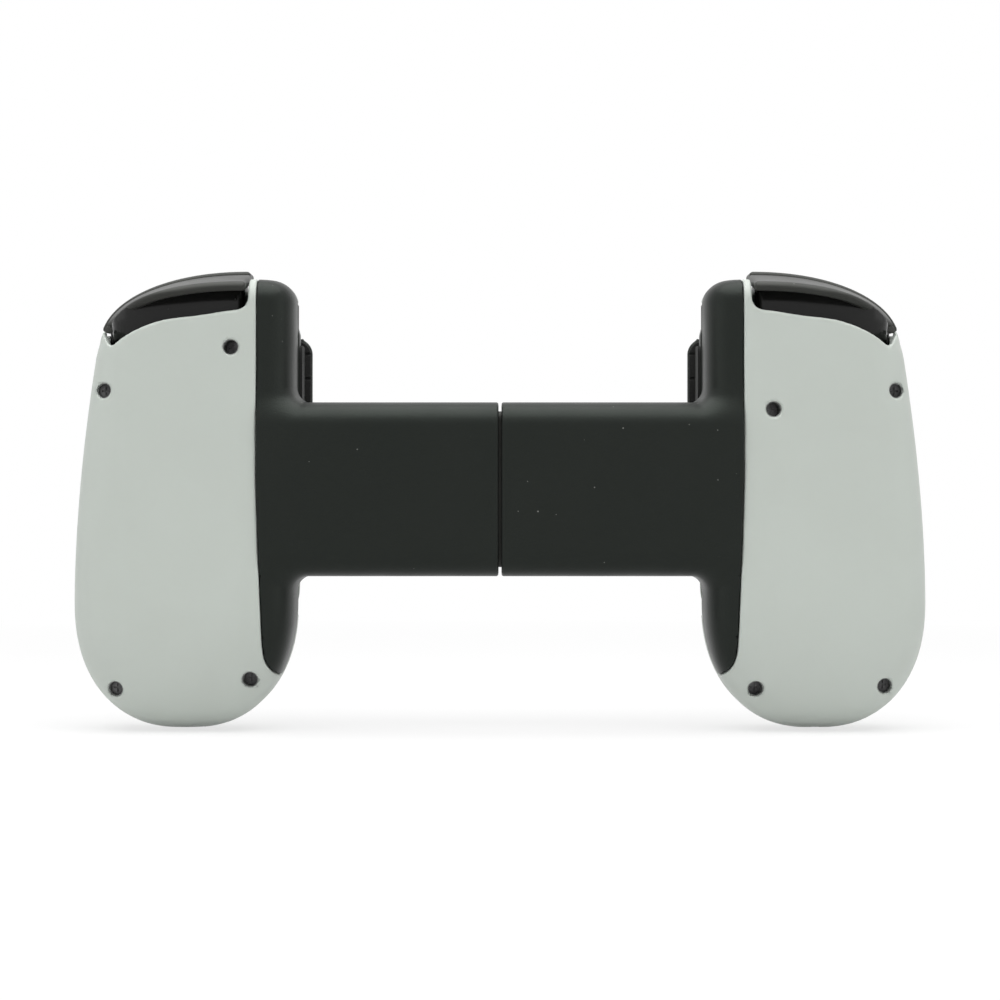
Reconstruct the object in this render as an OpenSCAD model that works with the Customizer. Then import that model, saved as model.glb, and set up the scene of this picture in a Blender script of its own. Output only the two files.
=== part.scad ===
// Mobile game controller: two grips on a telescopic bridge.
// Millimetres, upright, +Z up. The back faces -Y and the player's side faces +Y.
// The origin is the middle of the flat face on which the phone rests.
// The player's left grip is at +X. Every right-hand piece is a mirrored left one.

/* [Bridge] */
// Height of the bridge
bridge_h = 35.6; // [34.6:0.2:36.6]
// Depth of the bridge from the phone rest to the back
bridge_d = 12; // [11.6:0.1:12.2]
// Rounding of the long back edges of the bridge
bridge_r = 5; // [4:0.5:5.5]
// Wall of the sleeve that slides on the rail
sleeve_wall = 1.6; // [1.4:0.1:1.8]
// Half the length of the centre rail
rail_half = 46.2; // [45:0.2:46.4]
// Half the gap at the middle seam
seam_half = 0.3; // [0.2:0.05:0.5]

/* [Grip] */
// Distance from the middle to the inner wall of a grip
grip_in = 42; // [41.6:0.1:42.4]
// Distance from the middle to the widest point of a grip
grip_out = 88; // [87:0.2:89]
// Height at which the rounded foot of the grip begins
foot_z = -23; // [-24:0.2:-22]
// Length of the rounded foot
foot_h = 26.35; // [25.8:0.05:26.8]
// Top of the grip
top_z = 43.2; // [42.9:0.1:43.5]
// Depth of the grip behind the parting plane
back_d = 14.8; // [14.4:0.1:15.2]
// Depth of the grip in front of the parting plane
front_d = 10.4; // [10.2:0.1:10.6]
// Wall of the moulded shells
shell_wall = 2; // [1.7:0.1:2.2]

/* [Phone bay] */
// Reach of the front lip over the phone
lip_reach = 2.4; // [1.6:0.1:3]
// Thickness of the front lip
lip_t = 2.2; // [1.8:0.1:2.6]
// Middle height of the plug and of the phone
plug_z = 7.5; // [6:0.5:9]

/* [Trigger] */
// Radius of the trigger pin
pin_r = 1.2; // [1:0.05:1.3]
// Height of the trigger hinge
hinge_z = 36; // [35.8:0.1:36.2]
// Outer radius of the skirt about the hinge
skirt_r = 12.3; // [12:0.1:12.6]

/* [Controls] */
// Radius of a thumbstick cap
cap_r = 7.8; // [7.2:0.1:8.4]
// Radius of the ball under a thumbstick cap
ball_r = 8.4; // [8:0.1:8.6]
// Radius of a face button
button_r = 3.9; // [3.5:0.1:4.2]
// Distance of the face buttons from the middle of their cluster
button_ring = 9; // [8.8:0.1:9.4]
// Half the length of the direction pad
pad_half = 10.4; // [9.8:0.1:10.8]
// Half the width of a direction pad arm
pad_arm = 3.4; // [3:0.1:3.8]
// Gap between a moving control and its opening
gap = 0.35; // [0.3:0.05:0.45]

/* [Screws] */
// Radius of a screw hole on the back
hole_r = 1.6; // [1.5:0.05:1.7]
// Radius of a screw shank
shank_r = 0.9; // [0.8:0.05:0.95]

/* [Hidden] */
$fn = 48;
part_y = 1;
part_gap = 0.1;
grip_mid = (grip_in + grip_out) / 2;
half_w = (grip_out - grip_in) / 2;
side_lean = 5.5;
side_run = 56.2;
corner_z = 30;
corner_h = 15.3;
corner_n = 2.1;
edge_r = 4.6;
front_y = part_y + part_gap + front_d;
front_in = front_y - shell_wall;
board_y = -1;
board_t = 1.4;
sleeve_z = bridge_h - 2 * sleeve_wall;
sleeve_y = bridge_d - 2 * sleeve_wall;
rail_gap = 0.3;
rail_z = sleeve_z - 2 * rail_gap;
rail_y = sleeve_y - 2 * rail_gap;
wall_t = 1.8;
hinge_y = 3;
pivot_y = 4;
stick_left = [grip_mid + 1, 18];
stick_right = [grip_mid, -12];
pad_at = [grip_mid + 0.5, -12];
cluster_at = [grip_mid + 0.3, 18];
// The sleeve ends on its spring anchors, and the shoulder and the trigger start beside its end.
anchor_x = rail_half + 0.6;
anchor_t = 1.6;
sleeve_end = anchor_x + anchor_t;
border_u = sleeve_end + 1.05;
pocket_u = border_u + 1.85;
corner_u = pocket_u + 1.2;
// Places of the screws.
left_screws = [[sleeve_end + 7, top_z - 27], [grip_out - 7.3, top_z - 23.1],
  [grip_out - 9.7, foot_z - 17], [grip_in + 10, foot_z - 17.5]];
right_screws = [[sleeve_end + 6.2, top_z - 14.4], [grip_out - 7.3, top_z - 23.1],
  [grip_out - 9.7, foot_z - 17.6], [grip_in + 8.8, foot_z - 15.6]];
shell_black = [0.16, 0.165, 0.16];
shell_white = [0.75, 0.78, 0.75];
dark = [0.1, 0.1, 0.1];
steel = [0.6, 0.62, 0.64];
rubber_black = [0.07, 0.07, 0.07];
board_green = [0.05, 0.25, 0.15];

// Moulded surfaces

// Height of a superellipse of exponent n at the fraction v of its half width.
function se(v, n) = pow(max(0, 1 - pow(abs(v), n)), 1 / n);
function mix(a, b, t) = a + (b - a) * t;
function unit(v) = max(0, min(1, v));

// Outline of a grip at height z, seen from the back.
function side_out(z) = grip_out - side_lean * pow((z - foot_z) / side_run, 1.8);
function corner_a() = side_out(corner_z) - corner_u;
function u_out(z) = z < foot_z ? grip_mid + half_w * se((foot_z - z) / foot_h, 2.26)
  : z < corner_z ? side_out(z)
  : corner_u + corner_a() * se((z - corner_z) / corner_h, corner_n);
function u_in(z) = z < foot_z ? grip_mid - half_w * se((foot_z - z) / foot_h, 2.26)
  : z < top_z - edge_r ? grip_in
  : grip_in + edge_r * (1 - se((z - top_z + edge_r) / edge_r, 2));

// How far the section closes at the foot and at the top.
function shut(z) = z < foot_z ? se((foot_z - z) / foot_h, 2.6)
  : z < corner_z ? 1
  : se((z - corner_z) / (top_z - corner_z), 5);

// Border between the light shell and the black shoulder.
function u_border(z) = border_u - 1.15 * pow(max(0, 5 - z) / 35, 1.3) - 3.5 * pow(max(0, -30 - z) / 8.6, 4);
function border_points(o) = concat([[30, 60], [30, -40.4]],
  [for (z = [-40.4, -39.4, -38.4, -37, -35.5, -33, -30, -25, -15, -5, 5, 60]) [u_border(z) + o, z]]);

// Height of a row after the wall w is taken off.
function z_wall(z, w) = z < foot_z ? foot_z - (foot_z - z) * (1 - w / foot_h)
  : z < corner_z ? z
  : corner_z + (z - corner_z) * (1 - w / (top_z - corner_z));
function n_back(inner) = inner ? 4 : 2.8;
function n_front(inner, z) = inner ? 3.5 + 8.5 * unit((z - foot_z) / 10) * unit((lip_top + 1.3 - z) / 3.3) : 4;
function n_of(s, inner, z) = s < 0 ? n_back(inner) : n_front(inner, z);
function depth(s, z) = s < 0 ? (back_d - 1.6 * unit((z - foot_z) / 60)) * shut(z) : front_d * shut(z);

// Point of a grip surface: s is -1 for the back and 1 for the front.
function skin(s, z, a, w) = let (inner = cos(a) < 0, n = n_of(s, inner, z))
  let (c = abs(cos(a)), d = abs(sin(a)), r = pow(pow(c, n) + pow(d, n), -1 / n))
  let (half = inner ? grip_mid - u_in(z) : u_out(z) - grip_mid)
  let (k = 1 - w / half_w, y0 = s < 0 ? part_y : part_y + part_gap)
  let (full = s < 0 ? back_d : front_d, ky = 1 - w / full)
  [grip_mid + (inner ? -1 : 1) * half * k * r * c, y0 + s * depth(s, z) * ky * r * d, z_wall(z, w)];

// Depth of the outer surface at a place, and the depth at which a boss of radius r ends under it.
skin_in = 0.5;
function skin_d(s, u, z) = let (inner = u < grip_mid)
  let (half = inner ? grip_mid - u_in(z) : u_out(z) - grip_mid)
  depth(s, z) * se((u - grip_mid) / half, n_of(s, inner, z));
function boss_end(s, p, r) = part_y
  + s * (min([for (a = [0:45:315]) skin_d(s, p[0] + r * cos(a), p[1] + r * sin(a))]) - skin_in);

// Heights of the rows: close together at the foot and at the top.
foot_rows = [for (f = [86.4, 81, 74, 66, 57, 48, 38, 28, 18, 8]) foot_z - foot_h * sin(f)];
side_rows = [for (i = [0:5]) mix(foot_z, corner_z, i / 5)];
top_rows = [for (f = [14, 28, 42, 54, 66, 77, 86]) corner_z + (top_z - corner_z) * sin(f)];
all_rows = concat(foot_rows, side_rows, top_rows);

// A sheet with one face through the grid a and the other through the grid b.
module sheet(a, b) {
  rows = len(a);
  cols = len(a[0]);
  n = rows * cols;
  points = [for (g = [a, b]) for (row = g) for (p = row) p];
  function at(i, j) = i * cols + j;
  face_a = [for (i = [0:rows - 2]) for (j = [0:cols - 2]) for (t = [0, 1])
    t == 0 ? [at(i, j), at(i, j + 1), at(i + 1, j + 1)] : [at(i, j), at(i + 1, j + 1), at(i + 1, j)]];
  face_b = [for (f = face_a) [n + f[2], n + f[1], n + f[0]]];
  rim = concat([for (j = [0:cols - 1]) at(0, j)], [for (i = [1:rows - 1]) at(i, cols - 1)],
    [for (j = [1:cols - 1]) at(rows - 1, cols - 1 - j)], [for (i = [1:rows - 2]) at(rows - 1 - i, 0)]);
  m = len(rim);
  side = [for (i = [0:m - 1]) for (t = [0, 1])
    let (p = rim[i], q = rim[(i + 1) % m]) t == 0 ? [q, p, n + p] : [q, n + p, n + q]];
  polyhedron(points = points, faces = concat(face_a, face_b, side), convexity = 8);
}

// Sheet of a whole grip half: s is -1 for the back and 1 for the front.
function grip_grid(s, w, rows) = [for (z = rows) [for (j = [0:18]) skin(s, z, 180 - 10 * j, w)]];
module grip_sheet(s, rows) {
  if (s < 0) sheet(grip_grid(s, shell_wall, rows), grip_grid(s, 0, rows));
  else sheet(grip_grid(s, 0, rows), grip_grid(s, shell_wall, rows));
}
shoulder_rows = concat([for (i = [5:9]) foot_rows[i]],
  [for (i = [0:2]) mix(foot_z, corner_z, i / 2)], top_rows);

// Plates and bars

// Straight piece with the profile in x and z, from the depth y0 to the depth y1.
module deep(y0, y1) {
  translate([0, y1, 0]) rotate([90, 0, 0]) linear_extrude(height = y1 - y0) children();
}

// Straight piece with the profile in y and z, from x0 to x1.
module wide(x0, x1) {
  translate([x0, 0, 0]) rotate([90, 0, 90]) linear_extrude(height = x1 - x0) children();
}

// Round bar along x, y or z.
module bar_x(p, r, len) {
  translate(p) rotate([0, 90, 0]) cylinder(r = r, h = len);
}
module bar_y(p, r, len) {
  translate(p) rotate([-90, 0, 0]) cylinder(r = r, h = len);
}

// Rectangle from a to b with corners of radius r.
module round_rect(a, b, r) {
  translate([a[0] + r, a[1]]) square([b[0] - a[0] - 2 * r, b[1] - a[1]]);
  translate([a[0], a[1] + r]) square([b[0] - a[0], b[1] - a[1] - 2 * r]);
  for (x = [a[0] + r, b[0] - r], y = [a[1] + r, b[1] - r]) translate([x, y]) circle(r = r);
}

// Bridge

module sleeve_profile() {
  difference() {
    translate([-bridge_d, -bridge_h / 2]) square([bridge_d, bridge_h]);
    for (m = [0, 1]) mirror([0, m]) translate([-bridge_d, bridge_h / 2 - bridge_r]) difference() {
      translate([-1, 0]) square([bridge_r + 1, bridge_r + 1]);
      translate([bridge_r, 0]) circle(r = bridge_r);
    }
  }
}

module box_profile(z, y, r) {
  round_rect([-bridge_d / 2 - y / 2, -z / 2], [-bridge_d / 2 + y / 2, z / 2], r);
}

module centre_rail() {
  color(dark) difference() {
    wide(-rail_half, rail_half) box_profile(rail_z, rail_y, 1.6);
    wide(-rail_half - 1, rail_half + 1) box_profile(rail_z - 3.8, rail_y - 3.2, 0.8);
  }
}

spring_z = 10;
module bridge_springs() {
  color(steel) for (z = [-spring_z, spring_z])
    bar_x([-anchor_x + 0.3, -bridge_d / 2, z], 1.8, 2 * anchor_x - 0.6);
}

// The flat cable lies in three layers while the bridge is closed.
fold_x = rail_half - 6;
fold_y = 2;
cable_t = 0.3;
module fold_end(x, y, side) {
  translate([x, y]) difference() {
    circle(d = fold_y + cable_t);
    circle(d = fold_y - cable_t);
    translate([side > 0 ? -2 : 0, -2]) square([2, 4]);
  }
}
module flex_cable() {
  y0 = -bridge_d / 2;
  color([0.55, 0.36, 0.12]) translate([0, 0, -4]) linear_extrude(height = 8) {
    translate([-fold_x, y0 - cable_t / 2]) square([2 * fold_x, cable_t]);
    translate([-anchor_x - 2, y0 - fold_y - cable_t / 2]) square([anchor_x + 2 + fold_x, cable_t]);
    translate([-fold_x, y0 + fold_y - cable_t / 2]) square([anchor_x + 2 + fold_x, cable_t]);
    fold_end(fold_x, y0 - fold_y / 2, 1);
    fold_end(-fold_x, y0 + fold_y / 2, -1);
  }
}

// Hollow fillet between the bridge and the inner wall of a grip.
module web(r, z, up) {
  translate([grip_in + 0.6, z]) mirror([0, up ? 0 : 1]) difference() {
    translate([-r - 0.6, -0.4]) square([r + 0.6, r + 0.4]);
    translate([-r - 0.6, r]) circle(r = r);
  }
}

// The shallow relief keeps the end pads off the face on which the phone rests.
relief = 0.3;
module bridge_half() {
  color(shell_black) difference() {
    union() {
      intersection() {
        grip_sheet(-1, shoulder_rows);
        deep(-20, part_y + 1) polygon(border_points(-0.05));
      }
      wide(seam_half, sleeve_end) sleeve_profile();
      deep(-bridge_d + bridge_r + 1, 0) web(3.3, bridge_h / 2, true);
      deep(-bridge_d + bridge_r + 1, 0) web(2.2, -bridge_h / 2, false);
    }
    translate([grip_in - pad_t - 0.2, -relief, -top_z]) cube([pad_t + 0.4, 2 * relief, 2 * top_z]);
    difference() {
      wide(seam_half - 1, sleeve_end + 1) box_profile(sleeve_z, sleeve_y, 1.8);
      for (z = [-spring_z, spring_z])
        translate([anchor_x, -bridge_d, z - 2.5]) cube([anchor_t, bridge_d, 5]);
    }
  }
}

// Grip shells

function dip(v) = abs(v) < 1 ? 0.5 * pow(cos(90 * v), 2) : 0;
function pocket_z(u) = corner_z - 6.1 + pocket_h * se((u - corner_u + 0.8) / (corner_a() - 0.35), 2)
  - dip((u - corner_u - 6) / 6);
pocket_h = 12.7;
pocket_r = 2.5;
pocket_end = corner_u + corner_a() - 2.25;
pocket_side = corner_z + 2.3;
past_u = grip_out + 7;
past_z = top_z + 16.5;
pocket_points = let (u0 = pocket_u + pocket_r, u1 = pocket_end - 1.5) concat(
  [[pocket_u, past_z]],
  [for (t = [180:15:270]) [u0 + pocket_r * cos(t), pocket_z(u0) + pocket_r * (1 + sin(t))]],
  [for (i = [1:14]) let (u = mix(u0, u1, i / 14)) [u, pocket_z(u)]],
  [[u1 + 0.5, pocket_z(u1) + 0.1], [u1 + 0.9, pocket_z(u1) + 0.7], [pocket_end + 1.2, pocket_side]],
  [[past_u, pocket_side], [past_u, past_z]]);

module screw_bore(p, r, y0, y1) {
  bar_y([p[0], y0, p[1]], r, y1 - y0);
}

boss_y = -2.8;
boss_wall = 0.65;
well_wall = 0.9;
head_y = -4.6;
module back_shell(screws) {
  color(shell_white) difference() {
    union() {
      grip_sheet(-1, all_rows);
      for (p = screws) let (r = hole_r + well_wall) screw_bore(p, r, boss_end(-1, p, r), boss_y - 0.2);
    }
    deep(-20, part_y + 1) polygon(pocket_points);
    deep(-20, part_y + 1) polygon(border_points(0.05));
    for (p = screws) {
      screw_bore(p, hole_r, -20, head_y);
      screw_bore(p, shank_r + 0.15, -20, 0);
    }
  }
}

module screws_of(screws) {
  color(steel) for (p = screws) difference() {
    union() {
      screw_bore(p, hole_r - 0.15, head_y - 1.4, head_y);
      screw_bore(p, shank_r, head_y - 0.1, 6);
    }
    for (a = [0, 90]) translate([p[0], head_y - 1.5, p[1]]) rotate([0, a, 0])
      translate([-0.9, 0, -0.2]) cube([1.8, 0.8, 0.4]);
  }
}

// Curves of the shoulder controls: superellipses about the corner of the grip.
function arc_at(a, b, t) = let (c = cos(t), d = sin(t))
  let (r = pow(pow(abs(c), corner_n) + pow(abs(d), corner_n), -1 / corner_n))
  [corner_u + a * r * c, corner_z + b * r * d];
function arc_points(a, b, t0, t1, n) = [for (i = [0:n]) arc_at(a, b, mix(t0, t1, i / n))];
over_points = concat(arc_points(corner_a() - 2.95, corner_h - 4.1, 92, 10, 16),
  [[past_u, corner_z + 1.9], [past_u, past_z], [pocket_u, past_z]]);

bumper_y0 = 0.9;
bumper_y1 = 8.6;
lug_at = [corner_u + 4.7, pocket_end - 7.8];
lug_t = 1.8;
module stick_hole(p) {
  bar_y([p[0], front_in - 4, p[1]], ball_r + 1, 10);
}
module small_hole(p) {
  bar_y([p[0], front_in - 4, p[1]], small_r + gap, 10);
}
module cross(g) {
  for (a = [0, 90]) rotate(a) round_rect([-pad_half - g, -pad_arm - g], [pad_half + g, pad_arm + g], 1 + g);
}
module front_shell(screws) {
  color(shell_white) difference() {
    union() {
      grip_sheet(1, all_rows);
      for (p = screws) let (r = shank_r + boss_wall) screw_bore(p, r, boss_y + 0.1, boss_end(1, p, r));
      for (u = lug_at) translate([u, hinge_y - 2.6, hinge_z - 2.6])
        cube([lug_t, front_in + 2.9 - hinge_y, 5.2]);
    }
    for (p = screws) screw_bore(p, shank_r + 0.05, boss_y - 1, 6.5);
    bar_x([corner_u, hinge_y, hinge_z], pin_r + 0.05, pocket_end - corner_u);
    deep(part_y - 1, bumper_y1 + gap) polygon(over_points);
    deep(part_y - 1, cradle_y + 0.2) translate([30, cradle_foot - 0.2])
      square([grip_in + wall_t + 0.4 - 30, cradle_top - cradle_foot + 0.4]);
    deep(part_y - 1, front_y + 1) translate([30, lip_foot - 1.2])
      square([grip_in + wall_t + 0.4 - 30, lip_top - lip_foot + 2]);
    children();
  }
}

// Phone bay

cradle_foot = foot_z - 3;
cradle_top = top_z - 4.4;
cradle_y = 5;
lip_top = plug_z + 24.5;
lip_foot = plug_z - 23.5;
module phone_cradle() {
  color(shell_black) {
    wide(grip_in, grip_in + wall_t) {
      round_rect([part_y + 0.1, cradle_foot], [cradle_y, cradle_top], 1.5);
      round_rect([part_y + 0.1, lip_foot - 1], [front_y, lip_top + 0.6], 1.5);
    }
    deep(front_y - lip_t, front_y) round_rect([grip_in - lip_reach, lip_foot], [grip_in + wall_t, lip_top], 2);
  }
}
pad_t = 0.8;
groove_pitch = 5.2;
module lip_pad() {
  y1 = front_y - lip_t;
  color(rubber_black) difference() {
    deep(y1 - pad_t, y1) round_rect([grip_in - lip_reach + 0.2, lip_foot + 1], [grip_in, lip_top - 0.6], 1);
    for (i = [0:8]) translate([grip_in - lip_reach - 1, y1 - pad_t - 1, lip_top - 3.6 - i * groove_pitch])
      cube([lip_reach + 2, 1.4, 0.5]);
  }
}
module end_pad() {
  color(rubber_black) difference() {
    wide(grip_in - pad_t, grip_in)
      round_rect([1.6, lip_foot + 2], [front_y - lip_t - pad_t, lip_top - 2], 1.5);
    children();
  }
}

// Shoulder controls

function lip_y(t) = -1.2 - 11.2 * (1 - pow(unit((60 - t) / 44), 2));
visor_from = 91;
visor_to = 13.5;
visor_t = 1.9;
function visor_grid(w) = [for (s = [0, 0.3, 0.6, 0.85, 0.95, 1])
  let (e = s > 0.9 ? (s - 0.9) * 8 : 0, cut = w == 0 ? e : w - e)
  [for (i = [0:14]) let (t = mix(visor_from, visor_to, i / 14))
    let (p = arc_at(corner_a() - 0.15 - 1.3 * s - cut, corner_h - 0.7 - 2.6 * s - cut, t))
    [p[0], mix(bumper_y0 - 0.6, lip_y(t), s), p[1]]]];
skirt_t = 1.4;
skirt_u0 = corner_u - 0.3;
skirt_u1 = pocket_end - 0.3;
function skirt_rad(u, t) = 3 + (skirt_r - t - 3) * se((u - skirt_u0) / (skirt_u1 - t - skirt_u0), 4);
function skirt_side(t) = [for (f = [0, 20, 35, 48, 58, 66, 73, 79, 84, 88])
  let (u = skirt_u0 + (skirt_u1 - t - skirt_u0) * sin(f)) [skirt_rad(u, t), u]];
skirt_inner = skirt_side(skirt_t);
skirt_profile = concat(skirt_side(0), [for (i = [0:9]) skirt_inner[9 - i]]);
skirt_low = [for (i = [0:12]) let (u = mix(corner_u - 1.5, pocket_end + 0.2, i / 12)) [u, pocket_z(u) - 2.2]];
skirt_high = arc_points(corner_a() - 1.6, corner_h - 3.1, visor_to, 95, 12);
arm_at = [corner_u + 2.1, pocket_end - 10.8];
arm_t = 1.6;
module arm(u, lift) {
  wide(u, u + arm_t) polygon([[-9.4, hinge_z + 5 - lift], [-0.4, hinge_z + 6.6 - lift],
    [hinge_y + 1.4, hinge_z + 2.4], [hinge_y + 1.4, hinge_z - 2.4], [hinge_y - 2, hinge_z - 2.4],
    [-8.2, hinge_z - 1.4]]);
}
module trigger() {
  color(dark) difference() {
    union() {
      sheet(visor_grid(0), visor_grid(visor_t));
      intersection() {
        translate([0, hinge_y, hinge_z]) rotate([0, 90, 0]) rotate([0, 0, 90])
          rotate_extrude(angle = 180, $fn = 96) polygon(skirt_profile);
        deep(-20, bumper_y0 - 1) polygon(concat(skirt_low, skirt_high));
      }
      arm(arm_at[0], 0);
      arm(arm_at[1], 3.6);
      translate([skirt_u1 - 1.3, -1, pocket_z(skirt_u1) + 1]) cube([1.8, 0.9, 4]);
      for (u = arm_at) bar_x([u, hinge_y, hinge_z], pin_r + 1.6, arm_t);
    }
    bar_x([pocket_u - 4, hinge_y, hinge_z], pin_r + gap, pocket_end - pocket_u);
  }
}
module trigger_pin() {
  color(steel) bar_x([arm_at[0] - 1.2, hinge_y, hinge_z], pin_r, lug_at[1] + lug_t - arm_at[0] + 2);
}
coil_room = arm_at[1] - lug_at[0] - lug_t;
module trigger_spring() {
  color(steel) difference() {
    bar_x([lug_at[0] + lug_t + 0.3, hinge_y, hinge_z], pin_r + 0.9, 0.64 * coil_room);
    bar_x([lug_at[0], hinge_y, hinge_z], pin_r + 0.3, coil_room + 9);
  }
}
bumper_to = 13.5;
bumper_t = 2.2;
function bumper_grid(w) = [for (k = [[0, 0.7], [0.12, 0], [0.88, 0], [1, 0.7]])
  let (cut = w == 0 ? k[1] : w)
  [for (i = [0:16]) let (t = mix(visor_from, bumper_to, i / 16))
    let (p = arc_at(corner_a() + 0.35 - cut, corner_h + 0.1 - cut, t))
    [p[0], mix(bumper_y0, bumper_y1, k[0]), p[1]]]];
module bumper() {
  color(dark) sheet(bumper_grid(bumper_t), bumper_grid(0));
}

// Thumbsticks: the base is on the board, the carrier sinks in it, the yoke tilts in the carrier.

base_half = 7.6;
base_wall = 1;
base_top = 2.6;
carrier_half = base_half - base_wall - gap;
carrier_y = 0.9;
axle_r = 0.9;
ring_r = 4.2;
ring_t = 2.6;
post_r = 1.6;
module stick_base(p) {
  color(dark) translate([p[0], 0, p[1]]) difference() {
    deep(board_y, base_top) square(2 * base_half, center = true);
    deep(board_y + 1.2, base_top + 1) square(2 * (base_half - base_wall), center = true);
  }
}
module stick_carrier(p) {
  color(shell_white) translate([p[0], 0, p[1]]) difference() {
    union() {
      deep(carrier_y, carrier_y + 0.8) square(2 * carrier_half, center = true);
      for (m = [-1, 1]) translate([m * 5.5 - 0.7, carrier_y, -1.9]) cube([1.4, pivot_y + 2 - carrier_y, 3.8]);
    }
    bar_x([-8, pivot_y, 0], axle_r + 0.3, 16);
    bar_y([0, carrier_y - 1, 0], ring_r + 0.5, 3);
  }
}
module stick_yoke(p) {
  color(steel) translate([p[0], 0, p[1]]) difference() {
    union() {
      bar_y([0, pivot_y - ring_t / 2, 0], ring_r, ring_t);
      bar_x([-6.2, pivot_y, 0], axle_r, 12.4);
    }
    bar_y([0, pivot_y - 2, 0], ring_r - 1.3, 4);
    translate([0, pivot_y, -6]) cylinder(r = 1, h = 12);
  }
}
cap_y = 17.2;
cap_t = 3;
module stick_cap(p) {
  color(rubber_black) translate([p[0], pivot_y, p[1]]) {
    rotate([-90, 0, 0]) rotate_extrude() {
      difference() {
        intersection() {
          circle(r = ball_r);
          translate([0, 3]) square([ball_r + 1, ball_r]);
        }
        circle(r = ball_r - 1.3);
      }
      translate([0, -1.2]) square([post_r, ball_r]);
      translate([0, ball_r - 1]) square([3.8, cap_y - pivot_y - ball_r + 1.4]);
      difference() {
        translate([0, cap_y - pivot_y]) union() {
          square([cap_r - cap_t / 2, cap_t]);
          translate([cap_r - cap_t / 2, cap_t / 2]) circle(r = cap_t / 2);
        }
        translate([0, cap_y - pivot_y + cap_t + 21.2]) circle(r = 22.2);
      }
    }
    translate([0, 0, -3.9]) cylinder(r = 0.7, h = 7.8);
  }
}

// Buttons

small_r = 1.8;
view_at = [grip_in + 8.2, top_z - 12.2];
capture_at = [grip_in + 15, foot_z - 8];
membrane_t = 0.8;
dome_top = 5.4;
button_y = 7;
module button(p, r, y0, y1, edge) {
  color(dark) translate([p[0], 0, p[1]]) rotate([-90, 0, 0]) rotate_extrude() {
    translate([0, y0]) square([r, y1 - y0 - edge]);
    translate([0, y0]) square([r - edge, y1 - y0]);
    translate([r - edge, y1 - edge]) circle(r = edge);
    translate([0, y0]) square([r + 0.5, 0.8]);
  }
}
function cluster(a) = [cluster_at[0] + button_ring * cos(a), cluster_at[1] + button_ring * sin(a)];
module face_button(a) {
  button(cluster(a), button_r, button_y, 14, 1);
}
module small_button(p) {
  button(p, small_r, 7.4, 12.4, 0.5);
}
pad_ring = 7.4;
pad_pivot = 9.2;
ball_pivot_r = 1.5;
module direction_pad() {
  color(dark) translate([pad_at[0], 0, pad_at[1]]) difference() {
    union() {
      deep(8.5, 12.8) cross(0);
      deep(12.7, 13.4) cross(-0.5);
    }
    bar_y([0, pad_pivot - 2, 0], ball_pivot_r + gap, 2);
    translate([0, pad_pivot, 0]) sphere(r = ball_pivot_r + gap);
    translate([0, 13.4 + 19.2, 0]) sphere(r = 20);
  }
}
module pad_rocker() {
  color(dark) translate([pad_at[0], 0, pad_at[1]]) rotate([-90, 0, 0]) rotate_extrude() {
    translate([0, board_y + 0.4]) square([1.8, 8]);
    translate([0, 7]) square([1, pad_pivot - 7]);
    intersection() {
      translate([0, pad_pivot]) circle(r = ball_pivot_r);
      translate([0, 7]) square([3, 6]);
    }
  }
}

// Inside a grip

module board_outline() {
  low = foot_z - 18;
  high = top_z - 8.5;
  side = bridge_h / 2;
  polygon([[sleeve_end + 2.6, low + 5], [sleeve_end + 7.6, low], [grip_out - 16, low],
    [grip_out - 8, low + 9], [grip_out - 6, low + 21], [grip_out - 6.5, 5], [grip_out - 9, high - 11],
    [grip_out - 18, high - 8], [grip_in + 11, high - 8], [grip_in + 11, high], [grip_in + 4.8, high],
    [grip_in + 4.8, side + 2.2], [sleeve_end + 2.6, side + 0.2]]);
}
module circuit_board(screws) {
  color(board_green) difference() {
    deep(board_y - board_t, board_y) board_outline();
    for (p = screws) screw_bore(p, hole_r + 1.3, -5, 2);
    children();
  }
}
module membrane(p, ring) {
  color([0.5, 0.5, 0.5]) difference() {
    union() {
      deep(board_y, board_y + membrane_t) translate(p) circle(r = ring + 3.1);
      for (a = [0:90:270]) bar_y([p[0] + ring * cos(a), board_y, p[1] + ring * sin(a)], 2.4,
        dome_top - board_y);
    }
    bar_y([p[0], board_y - 1, p[1]], 3.2, 4);
  }
}

// Sockets and plug

foot_u = grip_mid;
foot_end = foot_z - foot_h + 2.4;
jack_r = 1.8;
module jack_hole() {
  translate([foot_u, part_y, foot_end - 6]) cylinder(r = 3.3, h = 10);
}
module headphone_jack() {
  color(dark) difference() {
    union() {
      translate([foot_u, part_y, foot_end]) cylinder(r = 3, h = 5);
      translate([foot_u - 3, board_y, foot_end + 3]) cube([6, 5, 12]);
    }
    translate([foot_u, part_y, foot_end - 1]) cylinder(r = jack_r, h = 15);
  }
}
module port_outline(w, h) {
  square([w - h, h], center = true);
  for (m = [-1, 1]) translate([m * (w - h) / 2, 0]) circle(r = h / 2);
}
module port_hole() {
  translate([foot_u, part_y, foot_end - 6]) linear_extrude(height = 12) port_outline(11.4, 5.6);
}
module charge_port() {
  color(steel) translate([foot_u, part_y, foot_end]) {
    difference() {
      linear_extrude(height = 8) port_outline(10.8, 5);
      translate([0, 0, -1]) linear_extrude(height = 7.6) port_outline(9, 3.3);
    }
    translate([-3.3, -0.35, 0.6]) cube([6.6, 0.7, 7]);
  }
}
module port_room() {
  translate([foot_u - 6, -5, foot_end - 1]) cube([12, 10, 9.4]);
}
plug_y = 4.6;
module plug_hole(g) {
  translate([grip_in - 4, plug_y, plug_z]) rotate([90, 0, 90]) linear_extrude(height = 8)
    round_rect([-1.3 - g, -4.2 - g], [1.3 + g, 4.2 + g], 1.2 + g);
}
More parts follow.
